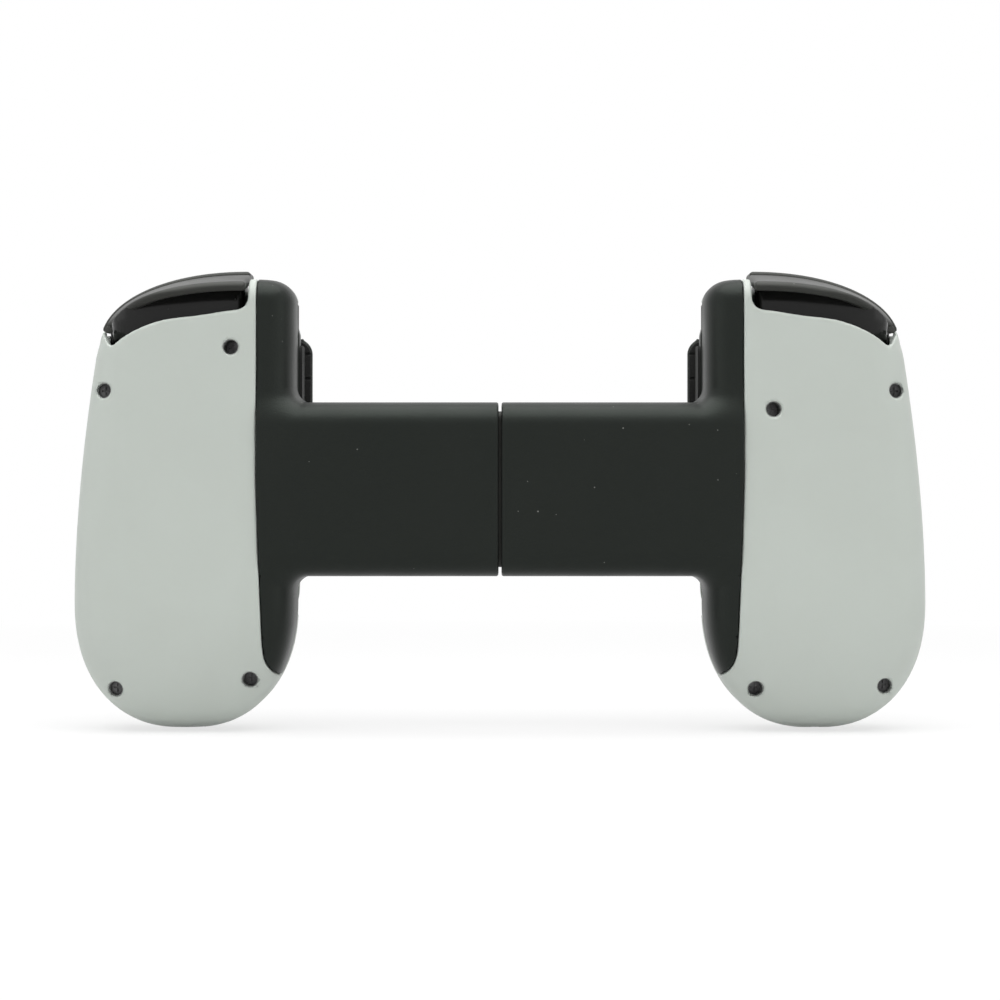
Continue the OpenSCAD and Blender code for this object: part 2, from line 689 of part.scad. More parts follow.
module phone_plug() {
  color(steel) difference() {
    union() {
      translate([grip_in - 6.6, plug_y, plug_z]) rotate([90, 0, 90]) linear_extrude(height = 10)
        round_rect([-1.25, -4.15], [1.25, 4.15], 1.15);
      translate([grip_in + wall_t + 1, plug_y - 3, plug_z - 6]) cube([5, 6, 12]);
    }
    translate([grip_in - 7, plug_y, plug_z]) rotate([90, 0, 90]) linear_extrude(height = 6)
      round_rect([-0.85, -3.75], [0.85, 3.75], 0.8);
  }
}

// Assembly

module right() {
  mirror([1, 0, 0]) children();
}
module left_front() {
  front_shell(left_screws) {
    stick_hole(stick_left);
    deep(0, 20) translate(pad_at) cross(0.6);
    small_hole(view_at);
    small_hole(capture_at);
    jack_hole();
  }
}
module right_front() {
  front_shell(right_screws) {
    stick_hole(stick_right);
    for (a = [0:90:270]) bar_y([cluster(a)[0], 0, cluster(a)[1]], button_r + gap, 20);
    small_hole(view_at);
    small_hole(capture_at);
    port_hole();
  }
}
module left_back() {
  difference() {
    back_shell(left_screws);
    jack_hole();
  }
}
module right_back() {
  difference() {
    back_shell(right_screws);
    port_hole();
  }
}

centre_rail();
bridge_springs();
flex_cable();
left_back();  // left_back_shell
left_front();  // left_front_shell
bridge_half();  // left_bridge_half
phone_cradle();  // left_phone_cradle
lip_pad();  // left_lip_pad
end_pad();  // left_end_pad
trigger();  // left_trigger
trigger_pin();  // left_trigger_pin
trigger_spring();  // left_trigger_spring
bumper();  // left_bumper
stick_base(stick_left);  // left_stick_base
stick_carrier(stick_left);  // left_stick_carrier
stick_yoke(stick_left);  // left_stick_yoke
stick_cap(stick_left);  // left_stick_cap
circuit_board(left_screws);  // left_circuit_board
membrane(pad_at, pad_ring);  // left_button_membrane
screws_of(left_screws);
direction_pad();
pad_rocker();
small_button(view_at);  // view_button
small_button(capture_at);  // capture_button
headphone_jack();
right() right_back();  // right_back_shell
right() right_front();  // right_front_shell
right() bridge_half();  // right_bridge_half
right() difference() {  // right_phone_cradle
  phone_cradle();
  plug_hole(0.1);
}
right() lip_pad();  // right_lip_pad
right() end_pad() plug_hole(0.3);  // right_end_pad
right() trigger();  // right_trigger
right() trigger_pin();  // right_trigger_pin
right() trigger_spring();  // right_trigger_spring
right() bumper();  // right_bumper
right() stick_base(stick_right);  // right_stick_base
right() stick_carrier(stick_right);  // right_stick_carrier
right() stick_yoke(stick_right);  // right_stick_yoke
right() stick_cap(stick_right);  // right_stick_cap
right() circuit_board(right_screws) port_room();  // right_circuit_board
right() membrane(cluster_at, button_ring);  // right_button_membrane
right() screws_of(right_screws);
right() face_button(90);  // face_button_top
right() face_button(270);  // face_button_bottom
right() face_button(180);  // face_button_inner
right() face_button(0);  // face_button_outer
right() small_button(view_at);  // menu_button
right() small_button(capture_at);  // home_button
right() phone_plug();
right() charge_port();
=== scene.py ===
"""Looks of the mobile game controller.

Each smooth moulded piece is a distance field in millimetres that is netted with quads and then
dressed with a procedural finish. The left grip is at +X, and a right-hand piece is a mirrored one.
"""

import logging
import math
from dataclasses import dataclass
from enum import Enum
from functools import cache
from typing import Callable, ClassVar

import bpy
import numpy as np
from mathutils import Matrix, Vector


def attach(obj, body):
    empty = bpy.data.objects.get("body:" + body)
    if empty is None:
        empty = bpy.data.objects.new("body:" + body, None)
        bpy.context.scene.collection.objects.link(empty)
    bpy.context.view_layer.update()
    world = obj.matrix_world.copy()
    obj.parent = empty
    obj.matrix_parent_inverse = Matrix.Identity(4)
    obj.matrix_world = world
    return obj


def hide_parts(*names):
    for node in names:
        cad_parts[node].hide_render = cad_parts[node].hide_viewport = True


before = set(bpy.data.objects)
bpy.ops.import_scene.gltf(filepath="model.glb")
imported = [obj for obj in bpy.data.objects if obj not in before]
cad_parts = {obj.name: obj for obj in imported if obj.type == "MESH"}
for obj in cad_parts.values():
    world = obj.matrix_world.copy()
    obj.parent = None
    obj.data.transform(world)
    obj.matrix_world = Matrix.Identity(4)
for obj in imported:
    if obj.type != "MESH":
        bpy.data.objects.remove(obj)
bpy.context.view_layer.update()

LOG = logging.getLogger("controller")
MM = 0.001
Array = np.ndarray
Material = bpy.types.Material
Node = bpy.types.Node
Object = bpy.types.Object
Socket = bpy.types.NodeSocket
Tree = bpy.types.NodeTree
Field = Callable[[Array], Array]
Colour = tuple[float, float, float]
Spot = tuple[float, float]
Triple = tuple[float, float, float]
Box = tuple[Triple, Triple]

TINY = 1e-9
RIM = 0.3  # Edge radius of a moulded rim.
BORDER_GAP = 0.05  # Half the gap between a light and a black piece.
INSIDE = -9.0  # Distance of a point that is well inside.
WHITE = (1.0, 1.0, 1.0, 1.0)


class Side(Enum):
    """The player's side on which a piece sits."""

    LEFT = "left"
    RIGHT = "right"

    def named(self, piece: str) -> str:
        """Name of a node or body on this side."""
        return f"{self.value}_{piece}"


class Half(Enum):
    """Half of a grip, split at the parting plane."""

    BACK = -1
    FRONT = 1


def meet(a: Array, b: Array, r: float) -> Array:
    """Intersection of two distances with an edge of radius r."""
    corner = np.hypot(np.maximum(r + a, 0.0), np.maximum(r + b, 0.0))
    return np.minimum(-r, np.maximum(a, b)) + corner


def join(a: Array, b: Array, r: float) -> Array:
    """Union of two distances with a fillet of radius r."""
    return -meet(-a, -b, r)


def cut(a: Array, b: Array, r: float) -> Array:
    """The distance a without the distance b, with an edge of radius r."""
    return meet(a, -b, r)


def both(a: Array, b: Array) -> Array:
    """Sharp intersection of two distances."""
    return np.maximum(a, b)


def either(a: Array, b: Array) -> Array:
    """Sharp union of two distances."""
    return np.minimum(a, b)


def levelled(raw: Field, p: Array, step: float = 0.03) -> Array:
    """Distance to the zero surface of a field whose slope varies.

    Args:
        raw: Field with its zero at the surface.
        p: Points in millimetres.
        step: Length of the test steps.

    Returns:
        The field divided by its slope.
    """
    value = raw(p)
    square = np.zeros(len(p))
    for axis in range(3):
        moved = p.copy()
        moved[:, axis] += step
        square += (raw(moved) - value) ** 2
    return value * step / np.sqrt(np.maximum(square, 1e-12))


def clamp(v: Array) -> Array:
    """Values kept between 0 and 1."""
    return np.clip(v, 0.0, 1.0)


def rounded(past: Array, r: float) -> Array:
    """Distance to a box with edges of radius r, from how far points lie past its sides."""
    q = past + r
    return np.linalg.norm(np.maximum(q, 0.0), axis=1) + np.minimum(q.max(axis=1), 0.0) - r


def block(p: Array, low: tuple, high: tuple, r: float) -> Array:
    """Distance to a box from low to high with rounded edges of radius r."""
    return rounded(np.abs(p - np.add(low, high) / 2) - np.subtract(high, low) / 2, r)


def radius(p: Array, spot: Spot) -> Array:
    """Distance to the axis along Y through a spot in X and Z."""
    return np.hypot(p[:, 0] - spot[0], p[:, 2] - spot[1])


def bore(p: Array, spot: Spot, r: float) -> Array:
    """Distance to an endless round bar along Y through a spot."""
    return radius(p, spot) - r


def between(v: Array, low: float, high: float) -> Array:
    """Distance to a slab of one coordinate."""
    return np.maximum(low - v, v - high)


def new_object(name: str, data: bpy.types.ID) -> Object:
    """Adds an object to the scene."""
    made = bpy.data.objects.new(name, data)
    bpy.context.scene.collection.objects.link(made)
    return made


@dataclass
class Net:
    """Quad net over the zero surface of a distance field."""

    points: Array
    quads: Array
    normals: Array
    MARGIN: ClassVar[float] = 1.5
    PULLS: ClassVar[int] = 3

    @classmethod
    def over(cls, shape: Field, low: tuple, high: tuple, cell: float) -> "Net":
        """Nets the surface of a field inside a box.

        Args:
            shape: Distance field, negative inside.
            low: Lowest corner of the box, in millimetres.
            high: Highest corner of the box.
            cell: Size of a grid cell.

        Returns:
            The net, with its points drawn onto the surface.
        """
        low = np.asarray(low, float) - cls.MARGIN * cell
        size = np.ceil((np.asarray(high, float) + cls.MARGIN * cell - low) / cell).astype(int) + 1
        axes = [low[k] + cell * np.arange(size[k]) for k in range(3)]
        grid = np.stack(np.meshgrid(*axes, indexing="ij"), -1).reshape(-1, 3)
        value = shape(grid).reshape(size)
        inside = value < 0

        def at(corner: tuple) -> tuple:
            """Slices that pick one corner of every cell."""
            return tuple(slice(corner[k], size[k] - 1 + corner[k]) for k in range(3))

        corners = [(i, j, k) for i in (0, 1) for j in (0, 1) for k in (0, 1)]
        count = sum(inside[at(c)].astype(int) for c in corners)
        mixed = (count > 0) & (count < 8)
        total = np.zeros((int(mixed.sum()), 3))
        hits = np.zeros(len(total))
        for c in corners:
            for axis in (k for k in range(3) if c[k] == 0):
                other = tuple(1 if k == axis else c[k] for k in range(3))
                va, vb = value[at(c)][mixed], value[at(other)][mixed]
                crossed = (va < 0) != (vb < 0)
                spot = np.tile(np.array(c, float), (int(crossed.sum()), 1))
                spot[:, axis] += va[crossed] / (va[crossed] - vb[crossed])
                total[crossed] += spot
                hits[crossed] += 1
        points = low + cell * (np.argwhere(mixed) + total / hits[:, None])
        index = np.full(mixed.shape, -1)
        index[mixed] = np.arange(len(points))
        quads = cls._faces(inside, index, size)
        for _ in range(cls.PULLS):
            value, slope = cls._slope(shape, points)
            pull = value / np.maximum((slope ** 2).sum(axis=1), 1e-6)
            points = points - np.clip(pull, -cell / 2, cell / 2)[:, None] * slope
        slope = cls._slope(shape, points)[1]
        return cls(points, quads, slope / np.linalg.norm(slope, axis=1, keepdims=True))

    @staticmethod
    def _faces(inside: Array, index: Array, size: Array) -> Array:
        """Quads round every grid edge that crosses the surface.

        Args:
            inside: Which grid points are inside.
            index: Number of the net point of each cell.
            size: Grid points along each axis.

        Returns:
            Rows of four point numbers, counter-clockwise from outside.
        """
        rows = []
        unit = np.eye(3, dtype=int)
        for d in range(3):
            e, f = (d + 1) % 3, (d + 2) % 3
            first = tuple(slice(0, size[k] - 1) if k == d else slice(None) for k in range(3))
            second = tuple(slice(1, size[k]) if k == d else slice(None) for k in range(3))
            g = np.argwhere(inside[first] != inside[second])
            room = (g[:, e] > 0) & (g[:, f] > 0) & (g[:, e] < size[e] - 1) & (g[:, f] < size[f] - 1)
            g = g[room]
            ring = [g, g - unit[e], g - unit[e] - unit[f], g - unit[f]]
            quad = np.stack([index[tuple(c.T)] for c in ring], axis=1)
            outward = inside[tuple(g.T)]
            rows.append(np.where(outward[:, None], quad, quad[:, ::-1]))
        return np.concatenate(rows)

    @staticmethod
    def _slope(shape: Field, p: Array, step: float = 0.02) -> tuple[Array, Array]:
        """Value and gradient of a field at points, by central differences."""
        slope = np.empty_like(p)
        for axis in range(3):
            ahead, behind = p.copy(), p.copy()
            ahead[:, axis] += step
            behind[:, axis] -= step
            slope[:, axis] = (shape(ahead) - shape(behind)) / (2 * step)
        return shape(p), slope

    @classmethod
    def joined(cls, nets: list["Net"]) -> "Net":
        """One net of several that stay apart."""
        shift = np.cumsum([0] + [len(net.points) for net in nets[:-1]])
        quads = np.concatenate([net.quads + s for net, s in zip(nets, shift)])
        points = np.concatenate([net.points for net in nets])
        return cls(points, quads, np.concatenate([net.normals for net in nets]))

    def on(self, side: Side) -> "Net":
        """The net on a side, from its left-hand form."""
        if side is Side.LEFT:
            return self
        flip = np.array([-1.0, 1.0, 1.0])
        return Net(self.points * flip, self.quads[:, ::-1], self.normals * flip)

    def to_object(self, name: str) -> Object:
        """Makes a smooth mesh object of the net, in metres."""
        mesh = bpy.data.meshes.new(name)
        mesh.from_pydata((self.points * MM).tolist(), [], self.quads.tolist())
        mesh.shade_smooth()
        mesh.normals_split_custom_set_from_vertices(self.normals.tolist())
        return new_object(name, mesh)

    def place(self, side: Side, name: str, body: str, slot: str, finish: "Finish", *nodes: str) -> None:
        """Makes a piece of the net, dresses it and lets it ride on a body.

        Args:
            side: Side of the piece.
            name: Name of the piece.
            body: CAD body that carries it.
            slot: Material slot of the record; not used.
            finish: Finish of the whole piece.
            nodes: CAD nodes that the piece replaces.
        """
        piece = self.on(side).to_object(name)
        piece.data.materials.append(finish.material())
        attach(piece, body)
        if nodes:
            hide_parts(*nodes)
        LOG.info("%s rides on %s", piece.name, body)


@dataclass(frozen=True)
class GripForm:
    """Sizes and surfaces that every moulded piece of a grip shares; _n marks powers."""

    inner: float = 42.0
    outer: float = 88.0
    foot_z: float = -23.0
    foot_h: float = 26.35
    foot_n: Spot = (2.26, 0.34)
    top_z: float = 42.9
    back_d: float = 14.8
    back_thin: Spot = (1.6, 60.0)
    front_d: float = 10.4
    wall: float = 2.0
    part_y: float = 1.0
    part_gap: float = 0.1
    side_lean: float = 5.5
    side_run: float = 56.2
    side_bend: float = 1.8
    edge_r: float = 4.6
    plan_n: float = 4.0
    back_ease: float = 1.2
    front_n: Spot = (3.5, 8.5)
    front_run: Spot = (10.0, 3.3)
    blend_u: float = 24.0
    corner_u: float = 52.5
    corner_z: float = 30.0
    corner_n: float = 2.1
    corner_h: float = 15.0
    turn_axes: Spot = (31.0, 14.4)
    back_fall: float = 0.055
    fall_z: float = 27.0
    fall_run: float = 8.0
    fall_bend: float = 1.5
    border_u: float = 49.45
    border_lean: tuple[float, ...] = (1.15, 5.0, 35.0, 1.3)
    border_hook: tuple[float, ...] = (3.5, -30.0, 8.6, 4)
    border_foot: float = -40.4
    arch: Triple = (51.7, 30.2, 12.7)
    pocket_u: float = 51.1
    pocket_foot: float = 23.7
    pocket_dip: Triple = (61.0, 9.0, 0.55)
    pocket_end: float = 80.8
    pocket_side: float = 31.45
    pocket_crest: float = 1.2
    crest_y: Spot = (-1.6, 1.2)
    slant: Spot = (1.8, 2.7)
    slant_at: Spot = (0.8, 32.2)
    end_gap: float = 0.4
    lip_top: float = 32.0
    lip_gap: float = 1.3

    def _reach(self, z: Array, half: Half) -> Array:
        """Outer side of a grip half at a height."""
        rise = np.maximum(np.minimum(z, self.corner_z) - self.foot_z, 0.0)
        side = self.outer - self.side_lean * (rise / self.side_run) ** self.side_bend
        share = np.clip((z - self.corner_z) / self.corner_h, 0.0, 0.999)
        n = self.corner_n
        side = self.corner_u + (side - self.corner_u) * (1.0 - share ** n) ** (1 / n)
        fall = self.back_fall * np.clip(z - self.fall_z, 0.0, self.fall_run) ** self.fall_bend
        return side - fall if half is Half.BACK else side

    def _section(self, p: Array, wall: float, half: Half) -> Array:
        """Superellipsoid of a grip half, drawn in by a wall: below zero inside."""
        _, y, z = p.T
        middle = (self.inner + self.outer) / 2
        across = p[:, 0] - middle
        drop = np.maximum(self.foot_z - z, 0.0) / (self.foot_h - wall)
        half_width = np.where(across > 0, self._reach(z, half) - middle, middle - self.inner)
        wide = np.abs(across) / np.maximum(half_width - wall, 0.5)
        outward = clamp(across / self.blend_u + 0.5)
        if half is Half.FRONT:
            least, more = self.front_n
            low_run, top_run = self.front_run
            square = least + more * clamp((z - self.foot_z) / low_run) * clamp(
                (self.lip_top + self.lip_gap - z) / top_run)
            power = square + (self.plan_n - square) * outward
            deep = np.abs(y - self.part_y - self.part_gap) / (self.front_d - wall)
        else:
            power = self.plan_n - self.back_ease * outward
            amount, run = self.back_thin
            thin = amount * clamp(np.maximum(z - self.foot_z, 0.0) / run)
            deep = np.abs(y - self.part_y) / (self.back_d - thin - wall)
        plan = (wide ** power + deep ** power) ** (1 / power)
        m = self.foot_n[0] + self.foot_n[1] * deep ** 2 / (wide ** 2 + deep ** 2 + TINY)
        return (plan ** m + drop ** m) ** (1 / m) - 1.0

    def skin(self, p: Array, wall: float, half: Half) -> Array:
        """Distance to the outside of a grip half, or to its inside when a wall is given."""
        form = levelled(lambda q: self._section(q, wall, half), p)
        return meet(form, p[:, 2] - self.top_z + wall, self.edge_r - 0.8 * wall)

    def border(self, z: Array) -> Array:
        """Border between the light shell and the black shoulder at a height."""
        lean, hook = (amount * (np.maximum(0.0, start - z) / run) ** power
                      for amount, start, run, power in (self.border_lean, self.border_hook))
        return self.border_u - lean - hook

    def beside_border(self, p: Array) -> Array:
        """Distance to the black side of the border."""
        return levelled(lambda q: q[:, 0] - self.border(np.maximum(q[:, 2], self.border_foot)), p)

    def arc(self, p: Array, a: float | Array, b: float | Array) -> Array:
        """Superellipse of a shoulder control about the corner of the grip: below zero inside."""
        du = np.maximum(p[:, 0] - self.corner_u, 0.0) / a
        dz = np.maximum(p[:, 2] - self.corner_z, 0.0) / b
        return (du ** self.corner_n + dz ** self.corner_n + TINY) ** (1 / self.corner_n) - 1.0

    def turn(self, p: Array) -> Array:
        """Angle in degrees along the shoulder arc, 90 at the inner end."""
        a, b = self.turn_axes
        du = np.maximum(p[:, 0] - self.corner_u, 1e-6) / a
        return np.degrees(np.arctan2(np.maximum(p[:, 2] - self.corner_z, 0.0) / b, du))

    def over_arch(self, u: Array, high: Array) -> Array:
        """Below zero above the arch of the pocket, for points high above its foot."""
        centre, a, b = self.arch
        return 1.0 - ((u - centre) / a) ** 2 - (high / b) ** 2

    def pocket(self, p: Array) -> Array:
        """Distance to the pocket for the trigger."""
        def curve(q: Array) -> Array:
            """Below zero above the lower edge of the pocket, which dips once."""
            centre, half, deep = self.pocket_dip
            dip = deep * np.cos(np.pi / 2 * clamp(np.abs(q[:, 0] - centre) / half)) ** 2
            return self.over_arch(q[:, 0], np.maximum(q[:, 2] - self.pocket_foot + dip, 0.0))
        u, y, z = p.T
        room = meet(levelled(curve, p), self.pocket_u - u, 2.5)
        (run, rise), (past, high) = self.slant, self.slant_at
        slant = ((u - self.pocket_end - past) * rise - (z - high) * run) / math.hypot(run, rise)
        slant = both(slant, u - self.pocket_end - self.end_gap)
        start, length = self.crest_y
        crest = self.pocket_side + self.pocket_crest * clamp((start - y) / length)
        return meet(room, either(slant, crest - z), 1.1)


def stadium(p: Array, u: float, y: float, width: float, height: float) -> Array:
    """Distance to an endless upright bar with a stadium section."""
    along = np.maximum(np.abs(p[:, 0] - u) - (width - height) / 2, 0.0)
    return np.hypot(along, p[:, 1] - y) - height / 2


def rounded_plan(p: Array, low: Spot, high: Spot, r: float) -> Array:
    """Distance to an endless bar along Y with a rounded rectangle in X and Z."""
    return block(p[:, (0, 2)], low, high, r)


@dataclass(frozen=True)
class FootSocket:
    """Opening for a socket in the foot of a grip."""

    width: float
    height: float
    u: float = 65.0
    top: float = -41.0

    def shape(self, p: Array, y: float) -> Array:
        """Distance to the opening."""
        return both(stadium(p, self.u, y, self.width, self.height), p[:, 2] - self.top)


@dataclass
class BackShell:
    """Light back shell of a grip, with its trigger pocket and screw wells."""

    side: Side
    grip: GripForm
    screws: tuple[Triple, ...]
    socket: FootSocket
    hole_r: float = 1.6
    shank_r: float = 1.05
    well_wall: float = 0.9
    head_y: float = -4.6
    boss_y: float = -3.0
    # The sleeve sizes below are for grey tubes that paint the shade inside the screw holes.
    shade_sleeve_t: float = 0.15
    shade_sleeve_r: float = 1.8
    shade_sleeve_y: float = -13.5
    shade_sleeve_cell: float = 0.16
    rim_deep: float = 0.4
    peg: Box = ((50.0, -8.4, 41.2), (51.3, -7.4, 41.9))
    box: Box = ((42.0, -14.0, -49.5), (88.0, 1.0, 43.3))
    cell: float = 0.5

    def shape(self, p: Array) -> Array:
        """Distance field of the left-hand form."""
        g = self.grip
        out = meet(g.skin(p, 0.0, Half.BACK), p[:, 1] - g.part_y, RIM)
        out = cut(out, g.pocket(p), 0.5)
        out = join(out, block(p, *self.peg, 0.25), RIM)
        out = cut(out, g.beside_border(p) - BORDER_GAP, RIM)
        out = cut(out, self.socket.shape(p, g.part_y), RIM)
        body = both(out, -g.skin(p, g.wall, Half.BACK))
        for u, z, inset in self.screws:
            back = g.part_y - g.back_d + inset
            boss = bore(p, (u, z), self.hole_r + self.well_wall)
            body = either(body, both(boss, between(p[:, 1], back, self.boss_y)))
        for u, z, _ in self.screws:
            body = cut(body, both(bore(p, (u, z), self.hole_r), p[:, 1] - self.head_y), 0.35)
            body = both(body, -bore(p, (u, z), self.shank_r))
        return body

    def sleeve(self, p: Array, spot: Spot) -> Array:
        """Distance field of the grey sleeve in one screw hole: painted shade inside the hole, not a real
        part.
        """
        r, t = self.hole_r, self.shade_sleeve_t
        ring = both(bore(p, spot, r + t), -bore(p, spot, r - t))
        under = self.grip.skin(p, 0.0, Half.BACK) + self.rim_deep
        return meet(both(ring, p[:, 1] - self.head_y), under, 0.06)

    def build(self) -> None:
        """Nets the shell and places it, with grey sleeves in the screw holes as painted shade."""
        net = Net.over(self.shape, *self.box, self.cell)
        node, body = self.side.named("back_shell"), self.side.named("grip")
        net.place(self.side, node + "_moulding", body, "light_shell", LIGHT_SHELL, node)
        # Grey sleeves in the screw holes: painted shade, a dark piece put where there is only shade.
        nets, r = [], self.shade_sleeve_r
        for u, z, _ in self.screws:
            low, high = (u - r, self.shade_sleeve_y, z - r), (u + r, self.head_y, z + r)
            nets.append(Net.over(lambda p, s=(u, z): self.sleeve(p, s), low, high, self.shade_sleeve_cell))
        name = self.side.named("screw_hole_painted_shade")
        Net.joined(nets).place(self.side, name, body, "black_shell", PAINTED_SHADE_LINING)


@dataclass
class BridgeHalf:
    """Black sleeve of the bridge, one piece with the shoulder of its grip."""

    grip: GripForm
    height: float = 35.6
    depth: float = 12.0
    front: float = 4.0
    round_r: float = 5.0
    wall: float = 1.6
    seam: float = 0.3
    fillet: float = 3.3
    fade: float = 0.5
    fade_u: Spot = (41.0, 9.0)
    end_u: float = 52.0
    rail_u: Spot = (-9.0, 60.0)
    box: Box = ((0.0, -14.0, -41.0), (50.5, 1.0, 43.3))
    cell: float = 0.5

    def _sleeve(self, p: Array) -> Array:
        """Distance to the sleeve, whose back sinks a little into the shoulder."""
        u, y, z = p.T
        start, run = self.fade_u
        sunk = y - self.fade * clamp((u - start) / run) ** 2
        past = [np.abs(sunk - self.front) - self.depth - self.front, np.abs(z) - self.height / 2]
        bar = meet(rounded(np.stack(past, axis=1), self.round_r), y, 0.4)
        return both(meet(bar, self.seam - u, 0.45), u - self.end_u)

    def shape(self, p: Array) -> Array:
        """Distance field of the left-hand form."""
        g = self.grip
        sleeve = self._sleeve(p)
        shoulder = meet(g.skin(p, 0.0, Half.BACK), p[:, 1] - g.part_y, RIM)
        out = join(shoulder, sleeve, self.fillet)
        out = meet(out, p[:, 1] - np.where(p[:, 0] < g.inner - 0.5, 0.0, g.part_y), 0.2)
        out = meet(out, g.beside_border(p) + BORDER_GAP, RIM)
        half = self.height / 2 - self.wall
        u0, u1 = self.rail_u
        rail = block(p, (u0, -self.depth + self.wall, -half), (u1, -self.wall, half), 1.8)
        inside = both(g.skin(p, g.wall, Half.BACK), -sleeve - 0.2)
        return both(out, -either(rail, inside))

    def build(self) -> None:
        """Nets the half once and places it on both sides."""
        net = Net.over(self.shape, *self.box, self.cell)
        for side in Side:
            node = side.named("bridge_half")
            net.place(side, node + "_moulding", side.named("grip"), "black_shell", BLACK_SHELL, node)


@dataclass
class FrontShell:
    """Light front shell with the openings for the controls."""

    side: Side
    grip: GripForm
    openings: tuple[Field, ...]
    socket: FootSocket
    bumper_y: float = 8.95
    bumper_z: float = 31.93
    bumper_arc: Spot = (27.6, 11.2)
    cradle_u: float = 44.2
    cradle_y: float = 5.2
    cradle_z: Spot = (-26.2, 39.0)
    lip_z: Spot = (-17.2, 32.8)
    box: Box = ((42.0, 1.0, -49.5), (88.0, 11.6, 43.6))
    cell: float = 0.5

    def shape(self, p: Array) -> Array:
        """Distance field of the left-hand form."""
        g = self.grip
        u, y, z = p.T
        out = meet(g.skin(p, 0.0, Half.FRONT), g.part_y + g.part_gap - y, RIM)
        over = both(-levelled(lambda q: g.arc(q, *self.bumper_arc), p), y - self.bumper_y)
        over = both(over, both(g.pocket_u - u, self.bumper_z - z))
        out = cut(out, over, 0.4)
        wall = both(between(z, *self.cradle_z), y - self.cradle_y)
        out = cut(out, both(u - self.cradle_u, either(wall, between(z, *self.lip_z))), 0.2)
        out = cut(out, self.socket.shape(p, g.part_y), RIM)
        for opening in self.openings:
            out = cut(out, opening(p), 0.6)
        return both(out, -g.skin(p, g.wall, Half.FRONT))

    def build(self) -> None:
        """Nets the shell and places it."""
        net = Net.over(self.shape, *self.box, self.cell)
        node, body = self.side.named("front_shell"), self.side.named("grip")
        net.place(self.side, node + "_moulding", body, "light_shell", LIGHT_SHELL, node)


@dataclass
class PhoneCradle:
    """Black end wall of the phone bay with its front lip."""

    side: Side
    grip: GripForm
    wall_u: Spot = (42.0, 43.8)
    wall_y: Spot = (1.1, 5.0)
    wall_z: Spot = (-26.0, 38.8)
    wall_r: float = 0.7
    low_trim: float = 0.4
    front_z: Spot = (-17.0, 32.6)
    lip_u: Spot = (39.75, 47.0)
    lip_r: float = 3.4
    lip_y: Spot = (9.3, 11.5)
    lip_z: Spot = (-16.0, 32.0)
    pad_t: float = 0.8
    grooves: int = 9
    groove: Spot = (5.2, 0.5)
    groove_top: float = 3.6
    groove_deep: float = 0.4
    plug: Triple = (4.6, 7.5, 1.3)
    plug_half: float = 2.9
    box: Box = ((39.7, 1.1, -26.0), (43.8, 11.5, 38.8))
    pad_box: Box = ((39.7, 8.5, -15.2), (42.1, 9.4, 31.6))
    cell: float = 0.4
    pad_cell: float = 0.2

    def shape(self, p: Array) -> Array:
        """Distance field of the left-hand form."""
        u, y, z = p.T
        inner, outer = self.wall_u
        low, high = zip(self.wall_u, self.wall_y, self.wall_z)
        trim = np.where(z < self.front_z[0], inner + self.low_trim - u, INSIDE)
        wall = both(block(p, low, high, self.wall_r), trim)
        low, high = (inner, self.wall_y[0], self.front_z[0]), (outer, self.lip_y[1], self.front_z[1])
        front = block(p, low, high, self.wall_r)
        plan = rounded_plan(p, *zip(self.lip_u, self.lip_z), self.lip_r)
        lip = meet(meet(plan, u - outer, RIM), between(y, *self.lip_y), self.wall_r)
        skin = np.where(u < self.grip.inner, INSIDE, self.grip.skin(p, 0.0, Half.FRONT))
        body = join(both(join(wall, front, 1.0), skin), lip, 0.8)
        if self.side is Side.RIGHT:
            plug_y, plug_z, r = self.plug
            slot = np.hypot(y - plug_y, np.maximum(np.abs(z - plug_z) - self.plug_half, 0.0)) - r - 0.1
            body = cut(body, slot, 0.2)
        return body

    def pad_shape(self, p: Array) -> Array:
        """Distance field of the grooved pad on the back of the lip."""
        (u0, u1), (z0, z1), back = self.lip_u, self.lip_z, self.lip_y[0]
        plan = rounded_plan(p, (u0 + 0.2, z0 + 1.0), (u1 - 0.2, z1 - 0.6), self.lip_r - 0.4)
        layer = between(p[:, 1], back - self.pad_t, back)
        pad = meet(both(plan, p[:, 0] - self.wall_u[0]), layer, 0.15)
        pitch, high = self.groove
        for row in range(self.grooves):
            z = z1 - self.groove_top - pitch * row
            deep = p[:, 1] - back + self.pad_t - self.groove_deep
            pad = cut(pad, both(between(p[:, 2], z, z + high), deep), 0.1)
        return pad

    def build(self) -> None:
        """Nets the cradle and its pad and places them."""
        grip, node, pad = (self.side.named(name) for name in ("grip", "phone_cradle", "lip_pad"))
        net = Net.over(self.shape, *self.box, self.cell)
        net.place(self.side, node + "_moulding", grip, "black_shell", BLACK_SHELL, node)
        net = Net.over(self.pad_shape, *self.pad_box, self.pad_cell)
        net.place(self.side, pad + "_moulding", grip, "grip_rubber", GRIP_RUBBER, pad)


